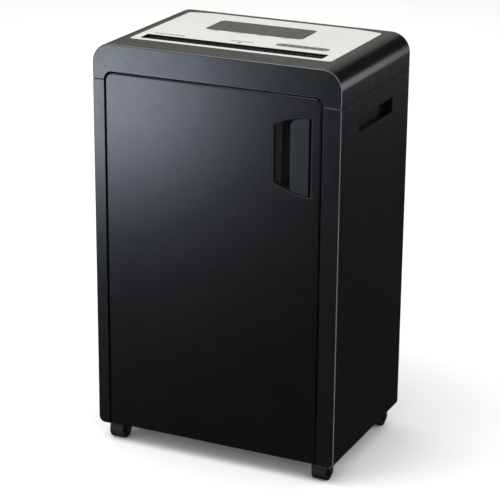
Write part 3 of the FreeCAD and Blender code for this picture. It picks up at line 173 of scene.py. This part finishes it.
def makePlastic(name, look, pattern):
    material, tree, place = emptyMaterial(name)
    cloud = addNode(tree, "ShaderNodeTexNoise", {"Vector": place},
                    {"Scale": 1 / (look["cloud"] * mm), "Detail": pattern["cloudDetail"]})
    grain = addNode(tree, "ShaderNodeTexNoise", {"Vector": place},
                    {"Scale": 1 / (look["grain"] * mm), "Detail": pattern["grainDetail"],
                     "Roughness": pattern["grainRough"]})
    smear = addNode(tree, "ShaderNodeTexNoise", {"Vector": place},
                    {"Scale": 1 / (look["cloud"] * pattern["smearShare"] * mm),
                     "Detail": pattern["smearDetail"], "Distortion": pattern["smearPull"]})
    tone = addNode(tree, "ShaderNodeMix", {"Factor": cloud.outputs["Fac"]},
                   {6: toLinear(look["dark"]), 7: toLinear(look["light"])}, data_type="RGBA")
    spread = addNode(tree, "ShaderNodeMath", {0: grain.outputs["Fac"], 1: smear.outputs["Fac"]},
                     operation="ADD")
    gloss = addNode(tree, "ShaderNodeMapRange", {"Value": spread.outputs[0]},
                    {"From Min": pattern["low"], "From Max": pattern["high"],
                     "To Min": look["rough"][0], "To Max": look["rough"][1]})
    relief = addNode(tree, "ShaderNodeBump", {"Height": grain.outputs["Fac"]},
                     {"Strength": look["bump"], "Distance": look["height"] * mm})
    surface = addNode(tree, "ShaderNodeBsdfPrincipled",
                      {"Base Color": tone.outputs[2], "Roughness": gloss.outputs[0],
                       "Normal": relief.outputs[0]}, {"IOR": look["ior"]})
    addNode(tree, "ShaderNodeOutputMaterial", {"Surface": surface.outputs[0]})
    return material


# Metals: a base tone, streaks stretched along one axis for rolled, ground or turned work, and
# a patchy bloom. "streak" gives the size of the pattern in millimetres along X, Y and Z.
metals = {
    # zinc plated sheet: bright blue grey with a faint patchy passivation
    "zincSheet": {"dark": "#9fa3a6", "light": "#b9bdbf", "streak": (14, 14, 14),
                  "rough": (0.30, 0.45), "bump": 0.08, "height": 0.03},
    # centreless ground steel: fine rings round the bar, clean and bright
    "groundSteel": {"dark": "#8f9294", "light": "#b0b3b5", "streak": (0.8, 30, 30),
                    "rough": (0.20, 0.30), "bump": 0.10, "height": 0.02},
    # hardened and oiled tool steel discs: darker, warm grey with turning rings
    "hardenedSteel": {"dark": "#5b5a58", "light": "#7d7c79", "streak": (0.9, 20, 20),
                      "rough": (0.26, 0.40), "bump": 0.15, "height": 0.03},
    # hobbed gear steel with an oil film: mid grey, slightly uneven
    "gearSteel": {"dark": "#6f7173", "light": "#8d8f90", "streak": (2, 9, 9),
                  "rough": (0.25, 0.38), "bump": 0.10, "height": 0.03},
    # sintered bronze bearings: brown gold, porous and dull
    "sinteredBronze": {"dark": "#8a6a3c", "light": "#b08a52", "streak": (0.9, 0.9, 0.9),
                       "rough": (0.40, 0.58), "bump": 0.25, "height": 0.05},
    # die cast aluminium: pale grey, cast skin with soft flow marks
    "castAluminium": {"dark": "#a4a6a7", "light": "#bdbfc0", "streak": (5, 5, 5),
                      "rough": (0.42, 0.56), "bump": 0.22, "height": 0.08},
    # stack of varnished iron sheets, half a millimetre each, drawn at one millimetre
    "laminatedIron": {"dark": "#3c3d3f", "light": "#6b6c6e", "streak": (1.0, 60, 60),
                      "rough": (0.35, 0.50), "bump": 0.35, "height": 0.06},
}
metalPattern = {"detail": 3.0, "bloom": 30, "low": 0.7, "high": 1.3}


def makeMetal(name, look, pattern):
    material, tree, place = emptyMaterial(name)
    stretch = [1 / (size * mm) for size in look["streak"]]
    laid = addNode(tree, "ShaderNodeMapping", {"Vector": place}, {"Scale": stretch})
    streak = addNode(tree, "ShaderNodeTexNoise", {"Vector": laid.outputs[0]},
                     {"Scale": 1.0, "Detail": pattern["detail"]})
    bloom = addNode(tree, "ShaderNodeTexNoise", {"Vector": place},
                    {"Scale": 1 / (pattern["bloom"] * mm), "Detail": pattern["detail"]})
    both = addNode(tree, "ShaderNodeMath", {0: streak.outputs["Fac"], 1: bloom.outputs["Fac"]},
                   operation="ADD")
    spread = addNode(tree, "ShaderNodeMapRange", {"Value": both.outputs[0]},
                     {"From Min": pattern["low"], "From Max": pattern["high"]})
    tone = addNode(tree, "ShaderNodeMix", {"Factor": spread.outputs[0]},
                   {6: toLinear(look["dark"]), 7: toLinear(look["light"])}, data_type="RGBA")
    gloss = addNode(tree, "ShaderNodeMapRange", {"Value": spread.outputs[0]},
                    {"To Min": look["rough"][1], "To Max": look["rough"][0]})
    relief = addNode(tree, "ShaderNodeBump", {"Height": streak.outputs["Fac"]},
                     {"Strength": look["bump"], "Distance": look["height"] * mm})
    surface = addNode(tree, "ShaderNodeBsdfPrincipled",
                      {"Base Color": tone.outputs[2], "Roughness": gloss.outputs[0],
                       "Normal": relief.outputs[0]}, {"Metallic": 1.0})
    addNode(tree, "ShaderNodeOutputMaterial", {"Surface": surface.outputs[0]})
    return material


# smoked acrylic: dark, warm and glossy, with the faintest waviness of a moulded window
acrylic = {"dark": "#0b0a09", "light": "#100f0e", "cloud": 40, "wave": 18, "rough": (0.10, 0.16),
           "low": 0.3, "high": 0.7, "bump": 0.05, "height": 0.2, "ior": 1.49}


def makeAcrylic(look):
    material, tree, place = emptyMaterial("smokedAcrylic")
    cloud = addNode(tree, "ShaderNodeTexNoise", {"Vector": place}, {"Scale": 1 / (look["cloud"] * mm)})
    wave = addNode(tree, "ShaderNodeTexNoise", {"Vector": place}, {"Scale": 1 / (look["wave"] * mm)})
    tone = addNode(tree, "ShaderNodeMix", {"Factor": cloud.outputs["Fac"]},
                   {6: toLinear(look["dark"]), 7: toLinear(look["light"])}, data_type="RGBA")
    gloss = addNode(tree, "ShaderNodeMapRange", {"Value": cloud.outputs["Fac"]},
                    {"From Min": look["low"], "From Max": look["high"],
                     "To Min": look["rough"][0], "To Max": look["rough"][1]})
    relief = addNode(tree, "ShaderNodeBump", {"Height": wave.outputs["Fac"]},
                     {"Strength": look["bump"], "Distance": look["height"] * mm})
    surface = addNode(tree, "ShaderNodeBsdfPrincipled",
                      {"Base Color": tone.outputs[2], "Roughness": gloss.outputs[0],
                       "Normal": relief.outputs[0]}, {"IOR": look["ior"]})
    addNode(tree, "ShaderNodeOutputMaterial", {"Surface": surface.outputs[0]})
    return material


# glass epoxy board: green solder mask over a one millimetre weave, copper showing as paler tracks
board = {"mask": "#14502c", "track": "#1f6a3c", "weave": 1.0, "waver": 0.6, "tracks": 7, "edge": 0.55,
         "rough": (0.28, 0.42), "bump": 0.3, "height": 0.05, "ior": 1.5}


def makeBoard(look):
    material, tree, place = emptyMaterial("glassEpoxyBoard")
    weave = addNode(tree, "ShaderNodeTexWave", {"Vector": place},
                    {"Scale": 1 / (look["weave"] * math.tau * mm), "Distortion": look["waver"]},
                    bands_direction="X")
    tracks = addNode(tree, "ShaderNodeTexVoronoi", {"Vector": place},
                     {"Scale": 1 / (look["tracks"] * mm)}, distance="MANHATTAN")
    edge = addNode(tree, "ShaderNodeMath", {0: tracks.outputs["Distance"]}, {1: look["edge"]},
                   operation="GREATER_THAN")
    tone = addNode(tree, "ShaderNodeMix", {"Factor": edge.outputs[0]},
                   {6: toLinear(look["mask"]), 7: toLinear(look["track"])}, data_type="RGBA")
    gloss = addNode(tree, "ShaderNodeMapRange", {"Value": weave.outputs["Fac"]},
                    {"To Min": look["rough"][0], "To Max": look["rough"][1]})
    relief = addNode(tree, "ShaderNodeBump", {"Height": edge.outputs[0]},
                     {"Strength": look["bump"], "Distance": look["height"] * mm})
    surface = addNode(tree, "ShaderNodeBsdfPrincipled",
                      {"Base Color": tone.outputs[2], "Roughness": gloss.outputs[0],
                       "Normal": relief.outputs[0]}, {"IOR": look["ior"]})
    addNode(tree, "ShaderNodeOutputMaterial", {"Surface": surface.outputs[0]})
    return material


finish = {name: makePlastic(name, look, plasticPattern) for name, look in plastics.items()}
finish.update({name: makeMetal(name, look, metalPattern) for name, look in metals.items()})
finish["smokedAcrylic"] = makeAcrylic(acrylic)
finish["glassEpoxyBoard"] = makeBoard(board)

finishOfSlot = {
    "shell_plastic": "grainedAbs", "door_plastic": "satinAbs", "inner_plastic": "innerPolyamide",
    "white_plastic": "whiteAbs", "window_plastic": "smokedAcrylic", "paddle_plastic": "paddleAbs",
    "bin_plastic": "tubPolypropylene", "circuit_board": "glassEpoxyBoard", "zinc_steel": "zincSheet",
    "ground_steel": "groundSteel", "hardened_steel": "hardenedSteel", "gear_steel": "gearSteel",
    "bronze": "sinteredBronze", "motor_aluminium": "castAluminium", "stator_iron": "laminatedIron",
    "wheel_rubber": "rollerRubber", "black_steel": "powderCoat",
}
for name, node in nodes.items():
    node.data.materials.clear()
    node.data.materials.append(finish[finishOfSlot[slotOf[name]]])
print("materials made:", len(finish))


# ---- pieces ----
def link(name, mesh):
    piece = bpy.data.objects.new(name, mesh)
    bpy.context.scene.collection.objects.link(piece)
    return piece


def applied(piece):
    graph = bpy.context.evaluated_depsgraph_get()
    mesh = bpy.data.meshes.new_from_object(piece.evaluated_get(graph))
    name = piece.name
    bpy.data.objects.remove(piece)
    return link(name, mesh)


def settle(piece, body, material=None):
    if material:
        piece.data.materials.clear()
        piece.data.materials.append(finish[material])
    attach(piece, body)
    return piece


# A copy of a CAD node with its triangles merged into flat faces, its sharp edges broken by a
# small round, and its curved faces shaded smooth. Edge breaks are in millimetres.
mouldings = {
    "hood": {"round": 0.5, "angle": 35},
    "side_panel_left": {"round": 0.4, "angle": 35},
    "side_panel_right": {"round": 0.4, "angle": 35},
    "rear_panel": {"round": 0.3, "angle": 35},
    "door_panel": {"round": 0.3, "angle": 40},
    "door_liner": {"round": 0.6, "angle": 35},
    "top_panel": {"round": 0.4, "angle": 40},
    "handle_cup": {"round": 0.35, "angle": 40},
    "handle_paddle": {"round": 0.5, "angle": 40},
    "grip_cup_left": {"round": 0.4, "angle": 35},
    "grip_cup_right": {"round": 0.4, "angle": 35},
    "waste_bin": {"round": 0.6, "angle": 35},
    "base_tray": {"round": 0.5, "angle": 35},
    "wheel_front_left": {"round": 0.3, "angle": 35},
    "wheel_front_right": {"round": 0.3, "angle": 35},
    "wheel_rear_left": {"round": 0.3, "angle": 35},
    "wheel_rear_right": {"round": 0.3, "angle": 35},
    "gear_cover": {"round": 0.4, "angle": 35},
    "power_inlet": {"round": 0.3, "angle": 35},
    "switch_frame": {"round": 0.25, "angle": 35},
    "switch_rocker": {"round": 0.25, "angle": 35},
    "paper_throat": {"round": 0.3, "angle": 35},
}
# merge in millimetres, flat and sharp in degrees
edgeWork = {"merge": 0.002, "flat": 0.6, "segments": 2, "sharp": 50, "weight": 80}


def broken(name, look, work):
    mesh = nodes[name].data.copy()
    merged = bmesh.new()
    merged.from_mesh(mesh)
    bmesh.ops.remove_doubles(merged, verts=merged.verts, dist=work["merge"] * mm)
    bmesh.ops.dissolve_limit(merged, angle_limit=math.radians(work["flat"]), verts=merged.verts,
                             edges=merged.edges)
    merged.to_mesh(mesh)
    merged.free()
    piece = link(name + "_shell", mesh)
    mesh.shade_smooth()
    edge = piece.modifiers.new("edge", "BEVEL")
    edge.limit_method = "ANGLE"
    edge.angle_limit = math.radians(look["angle"])
    edge.width = look["round"] * mm
    edge.segments = work["segments"]
    edge.use_clamp_overlap = False
    piece = applied(piece)
    piece.data.set_sharp_from_angle(angle=math.radians(work["sharp"]))
    even = piece.modifiers.new("even", "WEIGHTED_NORMAL")
    even.weight = work["weight"]
    even.keep_sharp = True
    piece = applied(piece)
    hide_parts(name)
    return settle(piece, bodyOf[name], finishOfSlot[slotOf[name]])


# gives the rounded rim at the front of a moulding a painted highlight: a greyer, glossier material on the
# faces that turn outwards
def paintRimHighlight(piece, rim):
    piece.data.materials.append(finish["rimHighlightAbs"])
    for face in piece.data.polygons:
        # front faces between flat and steep that turn outwards take the painted highlight material
        onRim = face.center.y < rim["front"] * mm and rim["steep"] > -face.normal.y > rim["flat"]
        if onRim and face.center.x * face.normal.x > rim["outward"] * mm:
            face.material_index = 1


# painted highlight on the hood and the right side panel only, the side the light falls on; rim faces are
# picked by where they lie and which way they face
rims = {"pieces": ("hood", "side_panel_right"), "front": -135.3, "steep": 0.93, "flat": 0.28,
        "outward": -0.01}
for name, look in mouldings.items():
    piece = broken(name, look, edgeWork)
    if name in rims["pieces"]:
        paintRimHighlight(piece, rims)
print("mouldings finished:", len(mouldings))


# ---- node trees ----
def newTree(name, inputs):
    tree = bpy.data.node_groups.new(name, "GeometryNodeTree")
    tree.interface.new_socket(name="Geometry", in_out="OUTPUT", socket_type="NodeSocketGeometry")
    for label, kind in inputs.items():
        tree.interface.new_socket(name=label, in_out="INPUT", socket_type="NodeSocket" + kind)
    return tree, addNode(tree, "NodeGroupInput").outputs


# joins what it is given, makes instances real, gives the material and ends the tree
def closeTree(tree, given, parts):
    joined = addNode(tree, "GeometryNodeJoinGeometry")
    for part in parts:
        tree.links.new(part, joined.inputs[0])
    real = addNode(tree, "GeometryNodeRealizeInstances", {"Geometry": joined.outputs[0]})
    painted = addNode(tree, "GeometryNodeSetMaterial",
                      {"Geometry": real.outputs[0], "Material": given["Material"]})
    addNode(tree, "NodeGroupOutput", {0: painted.outputs[0]})


def grow(name, tree, values):
    holder = link(name, bpy.data.meshes.new(name))
    modifier = holder.modifiers.new("nodes", "NODES")
    modifier.node_group = tree
    for socket in tree.interface.items_tree:
        if socket.item_type == "SOCKET" and socket.in_out == "INPUT":
            modifier[socket.identifier] = values[socket.name]
    return applied(holder)


# a shaft along X with toothed discs set along it, each turned a little from the last
def discTree(look):
    tree, given = newTree("toothedDiscs", {
        "Discs": "Int", "Pitch": "Float", "First": "Vector", "Width": "Float", "Radius": "Float",
        "Teeth": "Int", "Tooth Depth": "Float", "Twist": "Float", "Core Radius": "Float",
        "Core Length": "Float", "Core Centre": "Vector", "Shaft Radius": "Float",
        "Shaft Length": "Float", "Shaft Centre": "Vector", "Material": "Material"})
    toothPoints = look["toothPoints"]
    count = addNode(tree, "ShaderNodeMath", {0: given["Teeth"]}, {1: toothPoints}, operation="MULTIPLY")
    ring = addNode(tree, "GeometryNodeCurvePrimitiveCircle",
                   {"Resolution": count.outputs[0], "Radius": given["Radius"]})
    index = addNode(tree, "GeometryNodeInputIndex")
    turn = addNode(tree, "ShaderNodeMath", {0: index.outputs[0]}, {1: toothPoints}, operation="MODULO")
    notch = addNode(tree, "ShaderNodeMath", {0: turn.outputs[0]}, {1: toothPoints - look["notchPoints"]},
                    operation="GREATER_THAN")
    share = addNode(tree, "ShaderNodeMath", {0: given["Tooth Depth"], 1: given["Radius"]},
                    operation="DIVIDE")
    drop = addNode(tree, "ShaderNodeMath", {0: notch.outputs[0], 1: share.outputs[0]},
                   operation="MULTIPLY")
    keep = addNode(tree, "ShaderNodeMath", {1: drop.outputs[0]}, {0: 1.0}, operation="SUBTRACT")
    place = addNode(tree, "GeometryNodeInputPosition")
    drawn = addNode(tree, "ShaderNodeVectorMath", {0: place.outputs[0], "Scale": keep.outputs[0]},
                    operation="SCALE")
    toothed = addNode(tree, "GeometryNodeSetPosition",
                      {"Geometry": ring.outputs[0], "Position": drawn.outputs[0]})
    face = addNode(tree, "GeometryNodeFillCurve", {0: toothed.outputs[0]}, mode="NGONS")
    raised = addNode(tree, "GeometryNodeExtrudeMesh",
                     {"Mesh": face.outputs[0], "Offset Scale": given["Width"]})
    under = addNode(tree, "GeometryNodeFlipFaces", {"Mesh": face.outputs[0]})
    both = addNode(tree, "GeometryNodeJoinGeometry")
    tree.links.new(raised.outputs["Mesh"], both.inputs[0])
    tree.links.new(under.outputs[0], both.inputs[0])
    closed = addNode(tree, "GeometryNodeMergeByDistance", {"Geometry": both.outputs[0]},
                     {"Distance": look["merge"] * mm})
    quarter = Euler((0, math.pi / 2, 0))
    disc = addNode(tree, "GeometryNodeTransform", {"Geometry": closed.outputs[0]}, {"Rotation": quarter})
    step = addNode(tree, "ShaderNodeCombineXYZ", {"X": given["Pitch"]})
    line = addNode(tree, "GeometryNodeMeshLine",
                   {"Count": given["Discs"], "Start Location": given["First"], "Offset": step.outputs[0]})
    twist = addNode(tree, "ShaderNodeMath", {0: index.outputs[0], 1: given["Twist"]},
                    operation="MULTIPLY")
    turned = addNode(tree, "ShaderNodeCombineXYZ", {"X": twist.outputs[0]})
    discs = addNode(tree, "GeometryNodeInstanceOnPoints",
                    {"Points": line.outputs[0], "Instance": disc.outputs[0],
                     "Rotation": turned.outputs[0]})
    bars = []
    for part in ("Core", "Shaft"):
        bar = addNode(tree, "GeometryNodeMeshCylinder",
                      {"Radius": given[part + " Radius"], "Depth": given[part + " Length"]},
                      {"Vertices": look["barSides"]})
        laid = addNode(tree, "GeometryNodeTransform",
                       {"Geometry": bar.outputs[0], "Translation": given[part + " Centre"]},
                       {"Rotation": quarter})
        bars.append(laid.outputs[0])
    closeTree(tree, given, [discs.outputs[0]] + bars)
    return tree


rolls = {
    "discs": 26, "pitch": 11.6, "width": 5.3, "radius": 20.0, "coreRadius": 15.0, "shaftRadius": 7.0,
    "teeth": 9, "toothDepth": 3.2, "twist": 0.31, "coreFrom": -158.4, "coreTo": 152.4,
    "firstDisc": {"cutter_roll_front": -157.4, "cutter_roll_rear": -151.6},
    "toothPoints": 6, "notchPoints": 1.5, "barSides": 48, "merge": 0.001, "sharp": 30,
}


def makeRolls(look):
    tree = discTree(look)
    coreLength = (look["coreTo"] - look["coreFrom"]) * mm
    coreX = (look["coreTo"] + look["coreFrom"]) / 2 * mm
    for name, first in look["firstDisc"].items():
        low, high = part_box(name)
        middle = (low + high) / 2
        roll = grow(name + "_discs", tree, {
            "Discs": look["discs"], "Pitch": look["pitch"] * mm,
            "First": (first * mm, middle.y, middle.z),
            "Width": look["width"] * mm, "Radius": look["radius"] * mm, "Teeth": look["teeth"],
            "Tooth Depth": look["toothDepth"] * mm,
            "Twist": look["twist"] * (1 if name.endswith("rear") else -1),
            "Core Radius": look["coreRadius"] * mm, "Core Length": coreLength,
            "Core Centre": (coreX, middle.y, middle.z), "Shaft Radius": look["shaftRadius"] * mm,
            "Shaft Length": high.x - low.x, "Shaft Centre": (middle.x, middle.y, middle.z),
            "Material": finish["hardenedSteel"]})
        roll.data.set_sharp_from_angle(angle=math.radians(look["sharp"]))
        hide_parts(name)
        settle(roll, bodyOf[name])


makeRolls(rolls)
print("cutter rolls made")


# a row of bars, each the same size, from a first place in equal steps
def barTree():
    tree, given = newTree("barRow", {"Count": "Int", "First": "Vector", "Step": "Vector",
                                     "Size": "Vector", "Material": "Material"})
    bar = addNode(tree, "GeometryNodeMeshCube", {"Size": given["Size"]})
    line = addNode(tree, "GeometryNodeMeshLine",
                   {"Count": given["Count"], "Start Location": given["First"], "Offset": given["Step"]})
    row = addNode(tree, "GeometryNodeInstanceOnPoints",
                  {"Points": line.outputs[0], "Instance": bar.outputs[0]})
    closeTree(tree, given, [row.outputs[0]])
    return tree


barRow = barTree()


def makeBars(name, look, material):
    row = grow(name, barRow, {
        "Count": look["count"], "First": Vector(look["first"]) * mm, "Step": Vector(look["step"]) * mm,
        "Size": Vector(look["size"]) * mm, "Material": finish[material]})
    edge = row.modifiers.new("edge", "BEVEL")
    edge.width = look["round"] * mm
    edge.segments = edgeWork["segments"]
    edge.limit_method = "ANGLE"
    return settle(applied(row), look["body"])


# guide ribs in the paper throat and stiffening ribs on the tub: first is the middle of the first bar
ribs = {
    "throat_ribs_front": {"count": 19, "first": (-147, -78.2, 648), "step": (16, 0, 0),
                          "size": (1.4, 3.2, 13), "round": 0.3, "body": "cabinet",
                          "like": "paper_throat"},
    "throat_ribs_rear": {"count": 19, "first": (-147, -53.8, 648), "step": (16, 0, 0),
                         "size": (1.4, 3.2, 13), "round": 0.3, "body": "cabinet",
                         "like": "paper_throat"},
    "bin_ribs_front": {"count": 6, "first": (-130, -105.9, 270), "step": (50, 0, 0),
                       "size": (4, 2.4, 400), "round": 0.7, "body": "cabinet", "like": "waste_bin"},
    "bin_ribs_rear": {"count": 6, "first": (-130, 122.4, 270), "step": (50, 0, 0),
                      "size": (4, 2.4, 400), "round": 0.7, "body": "cabinet", "like": "waste_bin"},
}
for name, look in ribs.items():
    slot = slotOf[look["like"]]
    makeBars(name, look, finishOfSlot[slot])
print("rib rows made:", len(ribs))


# ---- top panel: slot collar and printed marks ----
# the panel's sloping top, from its front edge at the hood's height; all in millimetres
panelTop = {"front": -88.5, "length": 205, "low": 657, "rise": 2.0}


def panelHeight(y):
    return panelTop["low"] + panelTop["rise"] * (y - panelTop["front"]) / panelTop["length"]


# turns a built shape into a piece on the cabinet, its faces outwards
def cabinetPiece(name, work, material):
    bmesh.ops.recalc_face_normals(work, faces=work.faces)
    mesh = bpy.data.meshes.new(name)
    work.to_mesh(mesh)
    work.free()
    return settle(link(name, mesh), "cabinet", material)


def arc(x, y, radius, start, sweep, steps):
    angles = [start + i * sweep / steps for i in range(steps + 1)]
    return [(x + radius * math.cos(angle), y + radius * math.sin(angle)) for angle in angles]


# dark collar that lines the paper slot, with its top edge just proud of the panel
collar = {"left": -154, "right": 148, "front": -79, "rear": -53, "corner": 2.0, "wall": 0.9, "gap": 0.05,
          "foot": 655.1, "proud": 0.12, "cornerSteps": 4}


# the outline of the collar, drawn in from the edge of the slot
def collarLoop(look, inset, radius):
    x0 = look["left"] + inset + radius
    x1 = look["right"] - inset - radius
    y0 = look["front"] + inset + radius
    y1 = look["rear"] - inset - radius
    quarter = math.pi / 2
    corners = ((x1, y0, -quarter), (x1, y1, 0), (x0, y1, quarter), (x0, y0, math.pi))
    return [spot for x, y, start in corners
            for spot in arc(x, y, radius, start, quarter, look["cornerSteps"])]


def makeCollar(look):
    work = bmesh.new()
    rings = []
    for inset, radius in ((look["gap"], look["corner"]),
                          (look["gap"] + look["wall"], look["corner"] - look["wall"])):
        loop = collarLoop(look, inset, radius)
        rings.append([work.verts.new((x * mm, y * mm, look["foot"] * mm)) for x, y in loop])
        rings.append([work.verts.new((x * mm, y * mm, (panelHeight(y) + look["proud"]) * mm))
                      for x, y in loop])
    count = len(rings[0])
    for first, second in ((0, 1), (1, 3), (3, 2), (2, 0)):
        for i in range(count):
            j = (i + 1) % count
            work.faces.new((rings[first][i], rings[first][j], rings[second][j], rings[second][i]))
    return cabinetPiece("throat_collar", work, "innerPolyamide")


makeCollar(collar)
print("slot collar made")

# Generic marks only, in millimetres. Each row of bars has the middle of its first bar, the step
# between bars, and the size and number of them; the pointer stands at the middle of the slot.
marks = {
    "thick": 0.06, "lift": 0.02,
    "rows": {
        "mark_line_centre": {"first": (-20, -34), "step": 6.6, "size": (5.2, 3.4), "count": 6},
        "mark_line_left": {"first": (-144, -42), "step": 8.6, "size": (7.0, 4.0), "count": 6},
        "mark_labels": {"first": (-72, 11.5), "step": 40, "size": (14, 2.2), "count": 4},
    },
    "pointer": [(-7, -41), (-3, -47), (1, -41)],
}


# outline is a list of loops, each a list of (x, y) in order round a flat shape
def printed(name, outline, ink="darkInk", layer=0):
    work = bmesh.new()
    for loop in outline:
        lift = marks["lift"] + layer * marks["thick"]
        low = [work.verts.new((x * mm, y * mm, (panelHeight(y) + lift) * mm)) for x, y in loop]
        high = [work.verts.new(v.co + Vector((0, 0, marks["thick"] * mm))) for v in low]
        work.faces.new(high)
        work.faces.new(low[::-1])
        for i in range(len(loop)):
            j = (i + 1) % len(loop)
            work.faces.new((low[i], low[j], high[j], high[i]))
    return cabinetPiece(name, work, ink)


def bar(x, y, width, height):
    return [(x - width / 2, y - height / 2), (x + width / 2, y - height / 2),
            (x + width / 2, y + height / 2), (x - width / 2, y + height / 2)]


# a long oval with round ends
def oval(look, radius):
    x0 = look["from"] + look["radius"]
    x1 = look["to"] - look["radius"]
    return [spot for x, start in ((x1, -math.pi / 2), (x0, math.pi / 2))
            for spot in arc(x, look["y"], radius, start, math.pi, look["endSteps"])]


# a row of plain signs in the oval: each a dot over a short bar
signs = {"from": 51, "to": 138, "y": -27, "radius": 8.0, "line": 0.9, "count": 6, "endSteps": 12,
         "dot": 2.1, "dotSides": 20, "dotUp": 2.8, "bar": (6.5, 3.6), "barDown": 2.6}


def makeMarks(look):
    inside = look["radius"] - look["line"]
    outer = oval(look, look["radius"])
    inner = oval(look, inside)
    count = len(outer)
    band = [[outer[i], outer[(i + 1) % count], inner[(i + 1) % count], inner[i]] for i in range(count)]
    printed("mark_band_edge", band)
    printed("mark_band_field", [inner], "midInk")
    gap = (look["to"] - look["from"] - 2 * look["radius"]) / look["count"]
    shapes = []
    for i in range(look["count"]):
        x = look["from"] + look["radius"] + gap * (i + 0.5)
        dot = arc(x, look["y"] + look["dotUp"], look["dot"], 0, math.tau, look["dotSides"])
        shapes += [dot[:-1], bar(x, look["y"] - look["barDown"], *look["bar"])]
    printed("mark_signs", shapes, "darkInk", 1)
    printed("mark_pointer", [marks["pointer"]])
    for name, row in marks["rows"].items():
        x, y = row["first"]
        bars = [bar(x + row["step"] * i, y, *row["size"]) for i in range(row["count"])]
        printed(name, bars, "midInk")


makeMarks(signs)
print("marks printed")


# ---- floor and light ----
ground = {"half": 14, "colour": "#fdfdfc", "rough": 0.9}


def makeFloor(look):
    half = look["half"]
    corners = [(-half, -half, 0), (half, -half, 0), (half, half, 0), (-half, half, 0)]
    mesh = bpy.data.meshes.new("floor")
    mesh.from_pydata(corners, [], [(0, 1, 2, 3)])
    floor = link("floor", mesh)
    material = bpy.data.materials.new("paleFloor")
    material.use_nodes = True
    surface = material.node_tree.nodes["Principled BSDF"]
    surface.inputs["Base Color"].default_value = toLinear(look["colour"])
    surface.inputs["Roughness"].default_value = look["rough"]
    mesh.materials.append(material)
    floor.visible_glossy = False


softboxes = {
    "overhead": {"place": (-0.8, -1.0, 3.0), "aim": (0, 0, 0.3), "size": (2.2, 1.6), "power": 44,
                 "tint": "#fffefb"},
    "rearLeft": {"place": (-1.1, 2.9, 1.75), "aim": (0, 0, 0.6), "size": (2.6, 1.4), "power": 5.2,
                 "tint": "#fffdf8"},
    "frontLeft": {"place": (-0.99, -1.27, 0.24), "aim": (-0.2, -0.14, 0.55), "size": (0.68, 0.36),
                  "power": 7.4, "tint": "#e6f0ff"},
    "rearRight": {"place": (1.75, 2.0, 0.55), "aim": (0.1, 0.1, 0.35), "size": (1.1, 0.8), "power": 7,
                  "tint": "#f6faff"},
    "rightStrip": {"place": (1.95, -1.35, 1.25), "aim": (0.2, -0.13, 0.4), "size": (0.35, 2.5),
                   "power": 13, "tint": "#fffdf8"},
}


def makeLights(boxes):
    for name, look in boxes.items():
        data = bpy.data.lights.new(name, "AREA")
        data.shape = "RECTANGLE"
        data.size, data.size_y = look["size"]
        data.energy = look["power"]
        data.color = toLinear(look["tint"])[:3]
        lamp = bpy.data.objects.new(name, data)
        away = Vector(look["place"]) - Vector(look["aim"])
        lamp.location = look["place"]
        lamp.rotation_euler = away.to_track_quat("Z", "Y").to_euler()
        lamp.visible_camera = False
        bpy.context.scene.collection.objects.link(lamp)


world = {"seen": "#ffffff", "fill": 0.9, "mirror": 0.025}


def makeWorld(look):
    sky = bpy.data.worlds.new("studio")
    sky.use_nodes = True
    tree = sky.node_tree
    tree.nodes.clear()
    path = addNode(tree, "ShaderNodeLightPath")
    dim = addNode(tree, "ShaderNodeMix", {"Factor": path.outputs["Is Glossy Ray"]},
                  {2: look["fill"], 3: look["mirror"]})
    shade = addNode(tree, "ShaderNodeMix",
                    {"Factor": path.outputs["Is Camera Ray"], 2: dim.outputs[0]}, {3: 1.0})
    glow = addNode(tree, "ShaderNodeBackground", {"Strength": shade.outputs[0]},
                   {"Color": toLinear(look["seen"])})
    addNode(tree, "ShaderNodeOutputWorld", {"Surface": glow.outputs[0]})
    bpy.context.scene.world = sky


makeFloor(ground)
makeLights(softboxes)
makeWorld(world)
bpy.context.scene.view_settings.view_transform = "Standard"
print("floor and lights set")
